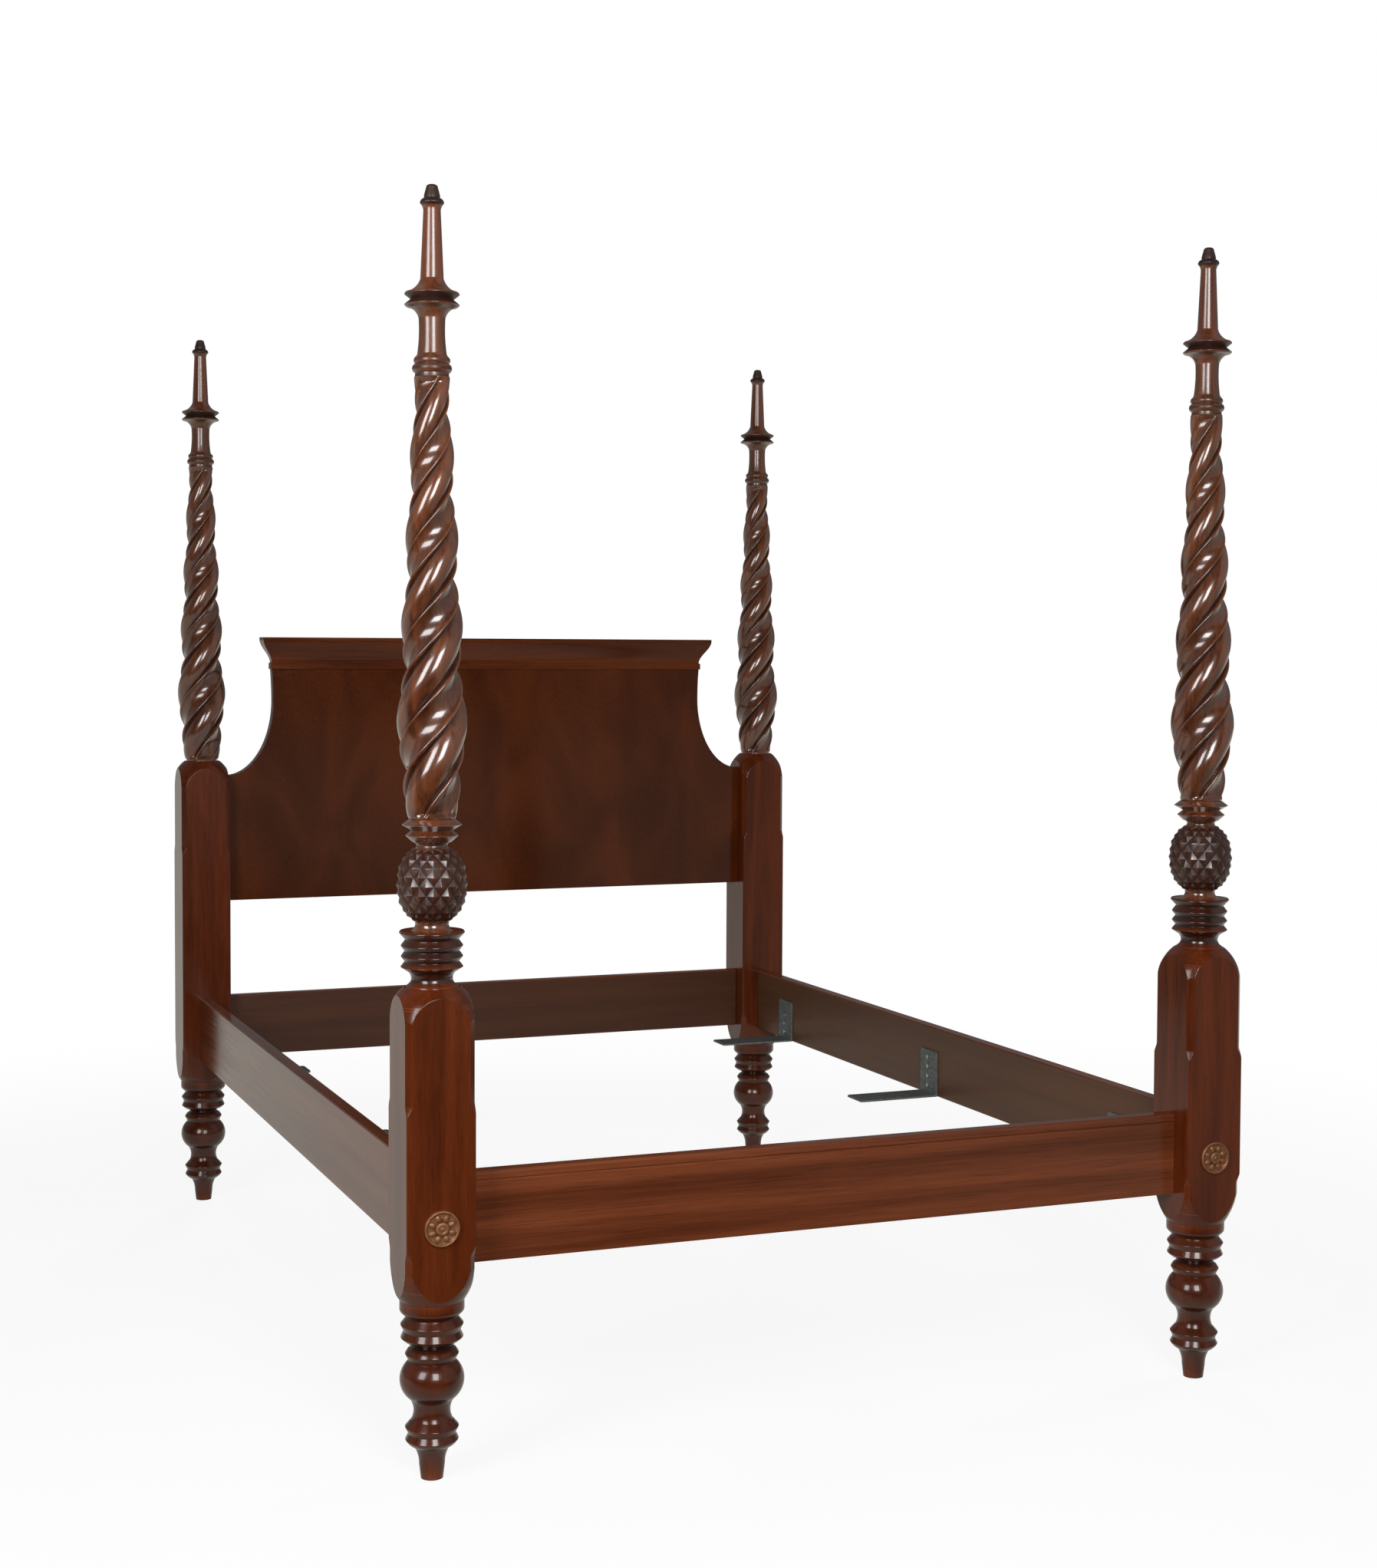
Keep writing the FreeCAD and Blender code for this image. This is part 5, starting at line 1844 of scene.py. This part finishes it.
@dataclass
class Studio:
    """Pale floor, soft light and the camera."""

    camera_place: Point = (-1.7072, -4.5275, 1.3182)
    yaw: float = math.radians(21.996)
    pitch: float = math.radians(2.426)
    roll: float = math.radians(0.269)
    lens: float = 53.4
    shift_y: float = -0.0238
    floor_size: float = 60.0
    floor_white: float = 0.88
    floor_grey: float = 0.86
    bounce_grey: float = 0.30
    front_floor_grey: float = 0.02
    sheet_edge: Span = (-1.6, -1.0)
    clear_radius: Span = (1.6, 3.6)
    sheet_mirrored: float = 0.62
    mirrored_white: Colour = (1.0, 0.965, 0.86)
    dim_world: float = 0.05
    bright_world: float = 0.25
    mirrored_dimming: float = 0.5
    back_edge: Span = (-0.35, 0.55)
    left_wall: float = 0.12
    left_wall_shade: float = 0.8
    left_wall_edge: Span = (-0.10, 0.20)
    right_wall: float = 0.4
    right_wall_edge: Span = (0.25, 0.50)
    right_wall_foot: Span = (0.2, 1.6)
    lamps: tuple[Softbox, ...] = (
        Softbox("near_softbox", (-0.75, -4.3, 2.15), target=(0.0, -0.4, 1.1), power=124.0),
        Softbox("left_softbox", (-3.1, -2.6, 2.15), target=(0.0, -0.2, 1.1), power=92.0),
        Softbox("back_fill", (1.6, 4.8, 2.4), target=(0.0, 0.6, 1.0), power=70.0, is_fill=True),
        Softbox("right_fill", (4.9, 0.2, 2.3), target=(0.7, 0.0, 1.0), power=60.0, is_fill=True),
    )

    def build(self) -> None:
        """Make the floor, the world, the lamps and the camera."""
        self._floor()
        self._world()
        for lamp in self.lamps:
            lamp.hang()
        self._camera()

    def _floor(self) -> None:
        """Lay a pale floor that keeps a faint shadow; the studio's own floor in front of it is darker."""
        floor = Bench.square("studio_floor", self.floor_size)
        Bench.clear()
        sheet, material = ShaderSheet.for_finish("studio_floor")
        place = sheet.place()
        away = sheet.node("ShaderNodeVectorMath", {"operation": "LENGTH"}, {0: place}, "Value")
        on_sheet = sheet.axis(place, "Y").between(*self.sheet_edge)
        by_wall = (1 - on_sheet) * self.right_wall * sheet.axis(place, "X").between(*self.right_wall_foot)
        camera = sheet.ray("Camera")
        bounce = sheet.mix(on_sheet, (self.front_floor_grey,) * 3, (self.bounce_grey,) * 3)
        grey = sheet.mix(camera, bounce, (self.floor_grey,) * 3)
        matt = sheet.node("ShaderNodeBsdfDiffuse", {}, {"Color": grey})
        glow = sheet.mix(camera, self.mirrored_white, WHITE)
        white = sheet.node("ShaderNodeEmission", {}, {"Color": glow, "Strength": 1.0})
        whiteness = self.floor_white + (1 - self.floor_white) * away.between(*self.clear_radius)
        seen = self._seen(sheet, on_sheet * self.sheet_mirrored + by_wall)
        sheet.finish(sheet.node("ShaderNodeMixShader", {}, {0: seen * whiteness, 1: matt, 2: white}))
        floor.data.materials.append(material)

    @staticmethod
    def _seen(sheet: ShaderSheet, is_white: Shade) -> Shade:
        """How far a ray sees the white ground: a camera ray wholly, and others where the studio is white."""
        return sheet.ray("Camera") + (sheet.ray("Glossy") + sheet.ray("Transmission")) * is_white

    def _world(self) -> None:
        """Light the bed from a pale room that is brighter behind the bed than behind the camera."""
        world = bpy.data.worlds.new("studio")
        bpy.context.scene.world = world
        world.use_nodes = True
        sheet = ShaderSheet(world.node_tree)
        way = sheet.place("Generated")
        across = sheet.axis(way, "X")
        back = sheet.axis(way, "Y").between(*self.back_edge)
        shaded = 1 - self.left_wall_shade * across.between(*self.left_wall_edge)
        left_back = back * self.left_wall * shaded
        right_front = (1 - back) * self.right_wall * across.between(*self.right_wall_edge)
        seen = self._seen(sheet, left_back + right_front)
        level = self.dim_world + (self.bright_world - self.dim_world) * back
        dimmed = level * (1 - self.mirrored_dimming * sheet.ray("Glossy"))
        inputs = {"Color": (*WHITE, 1.0), "Strength": seen + (1 - seen) * dimmed}
        sheet.finish(sheet.node("ShaderNodeBackground", {}, inputs), "World")

    def _camera(self) -> None:
        """Stand the camera where the bed is seen from its left foot corner."""
        lens = bpy.data.cameras.new("studio_camera")
        lens.lens = self.lens
        lens.shift_y = self.shift_y
        camera = bpy.data.objects.new("studio_camera", lens)
        bpy.context.scene.collection.objects.link(camera)
        turn = Matrix.Rotation(-self.yaw, 4, "Z") @ Matrix.Rotation(QUARTER_TURN - self.pitch, 4, "X")
        tilt = Matrix.Rotation(self.roll, 4, "Z")
        camera.matrix_world = Matrix.Translation(self.camera_place) @ turn @ tilt
        bpy.context.scene.camera = camera


def main() -> None:
    """Build the bed's sub-assemblies in order, and then the studio."""
    logging.basicConfig(level=logging.INFO, format="%(message)s")
    bpy.context.scene.view_settings.view_transform = "Standard"
    block_wood = Mahogany("post_mahogany", GrainAxis.Z).material()
    # Paler towards the top of the twist: painted light for the better-lit tops, and paler wood there.
    twist_wood = Mahogany(
        "twist_mahogany", GrainAxis.Z, dark=(0.036, 0.0086, 0.0024), light=(0.118, 0.0325, 0.0098),
        recess=(0.0150, 0.0032, 0.0012), pale_top_colour=(0.210, 0.0700, 0.0250), pale_top_heights=(1.15, 1.85),
        soft_heights=(1.72, 1.745), ribbon_scale=40.0, ribbon_bend=1.2, hand_work=4.5, roughness=0.22,
        sheen=0.5, coat=1.0, carved_coat=0.0, coat_roughness=0.11,
    ).material()
    # The finials' wood is lighter than the posts': partly painted light, standing in for the broad highlight
    # on the finials, partly the wood's own tone.
    finial_wood = Mahogany(
        "finial_mahogany", GrainAxis.Z, dark=(0.060, 0.0138, 0.0034), light=(0.165, 0.0430, 0.0120),
        roughness=0.28, sheen=0.5, coat=0.75, carved_coat=0.10, coat_roughness=0.19,
    ).material()
    rail_looks = {
        "dark": (0.070, 0.0160, 0.0052),
        "light": (0.176, 0.0460, 0.0168),
        "along_grain": 0.03,
        "ribbon_bend": 0.3,
    }
    end_rail_wood = Mahogany(
        "end_rail_mahogany", GrainAxis.X, bare=(0.035, 0.0130, 0.0048), **rail_looks
    ).material()
    # The side rails' bare colour is lighter than the end rails': partly a painted reflection of the pale
    # studio on their bare inner faces, partly the bare wood's own tone.
    side_rail_wood = Mahogany(
        "side_rail_mahogany", GrainAxis.Y, bare=(0.074, 0.0360, 0.0165), **rail_looks
    ).material()
    panel_wood = Mahogany(
        "panel_mahogany", GrainAxis.Z, dark=(0.041, 0.0080, 0.0013), light=(0.090, 0.0195, 0.0039),
        along_grain=0.50, ribbon_scale=6.0, ribbon_bend=0.8, streak_share=0.26, roughness=0.09,
    ).material()
    crest_wood = Mahogany(
        "crest_mahogany", GrainAxis.X, dark=(0.057, 0.0115, 0.0023), light=(0.116, 0.0256, 0.0052), sheen=0.20
    ).material()
    brass = AgedMetal(
        "antique_brass", bright=(0.290, 0.122, 0.050), dull=(0.150, 0.060, 0.027), roughness=0.44,
        metallic=0.55,
    ).material()
    dark_steel = AgedMetal(
        "bracket_steel", bright=(0.150, 0.170, 0.160), dull=(0.080, 0.092, 0.088), roughness=0.48,
        metallic=0.35,
    ).material()
    bright_steel = AgedMetal(
        "bright_steel", bright=(0.55, 0.56, 0.56), dull=(0.30, 0.31, 0.32), roughness=0.28,
        metallic=1.0,
    ).material()

    LowerPosts().build(block_wood)
    UpperPosts().build(twist_wood)
    Finials().build(finial_wood)
    Rails().build(end_rail_wood, side_rail_wood)
    Headboard().build(panel_wood, crest_wood)
    BoltCovers().build(brass)
    Hardware().dress(dark_steel, bright_steel, brass, side_rail_wood)
    Studio().build()


if __name__ == "__main__":
    main()
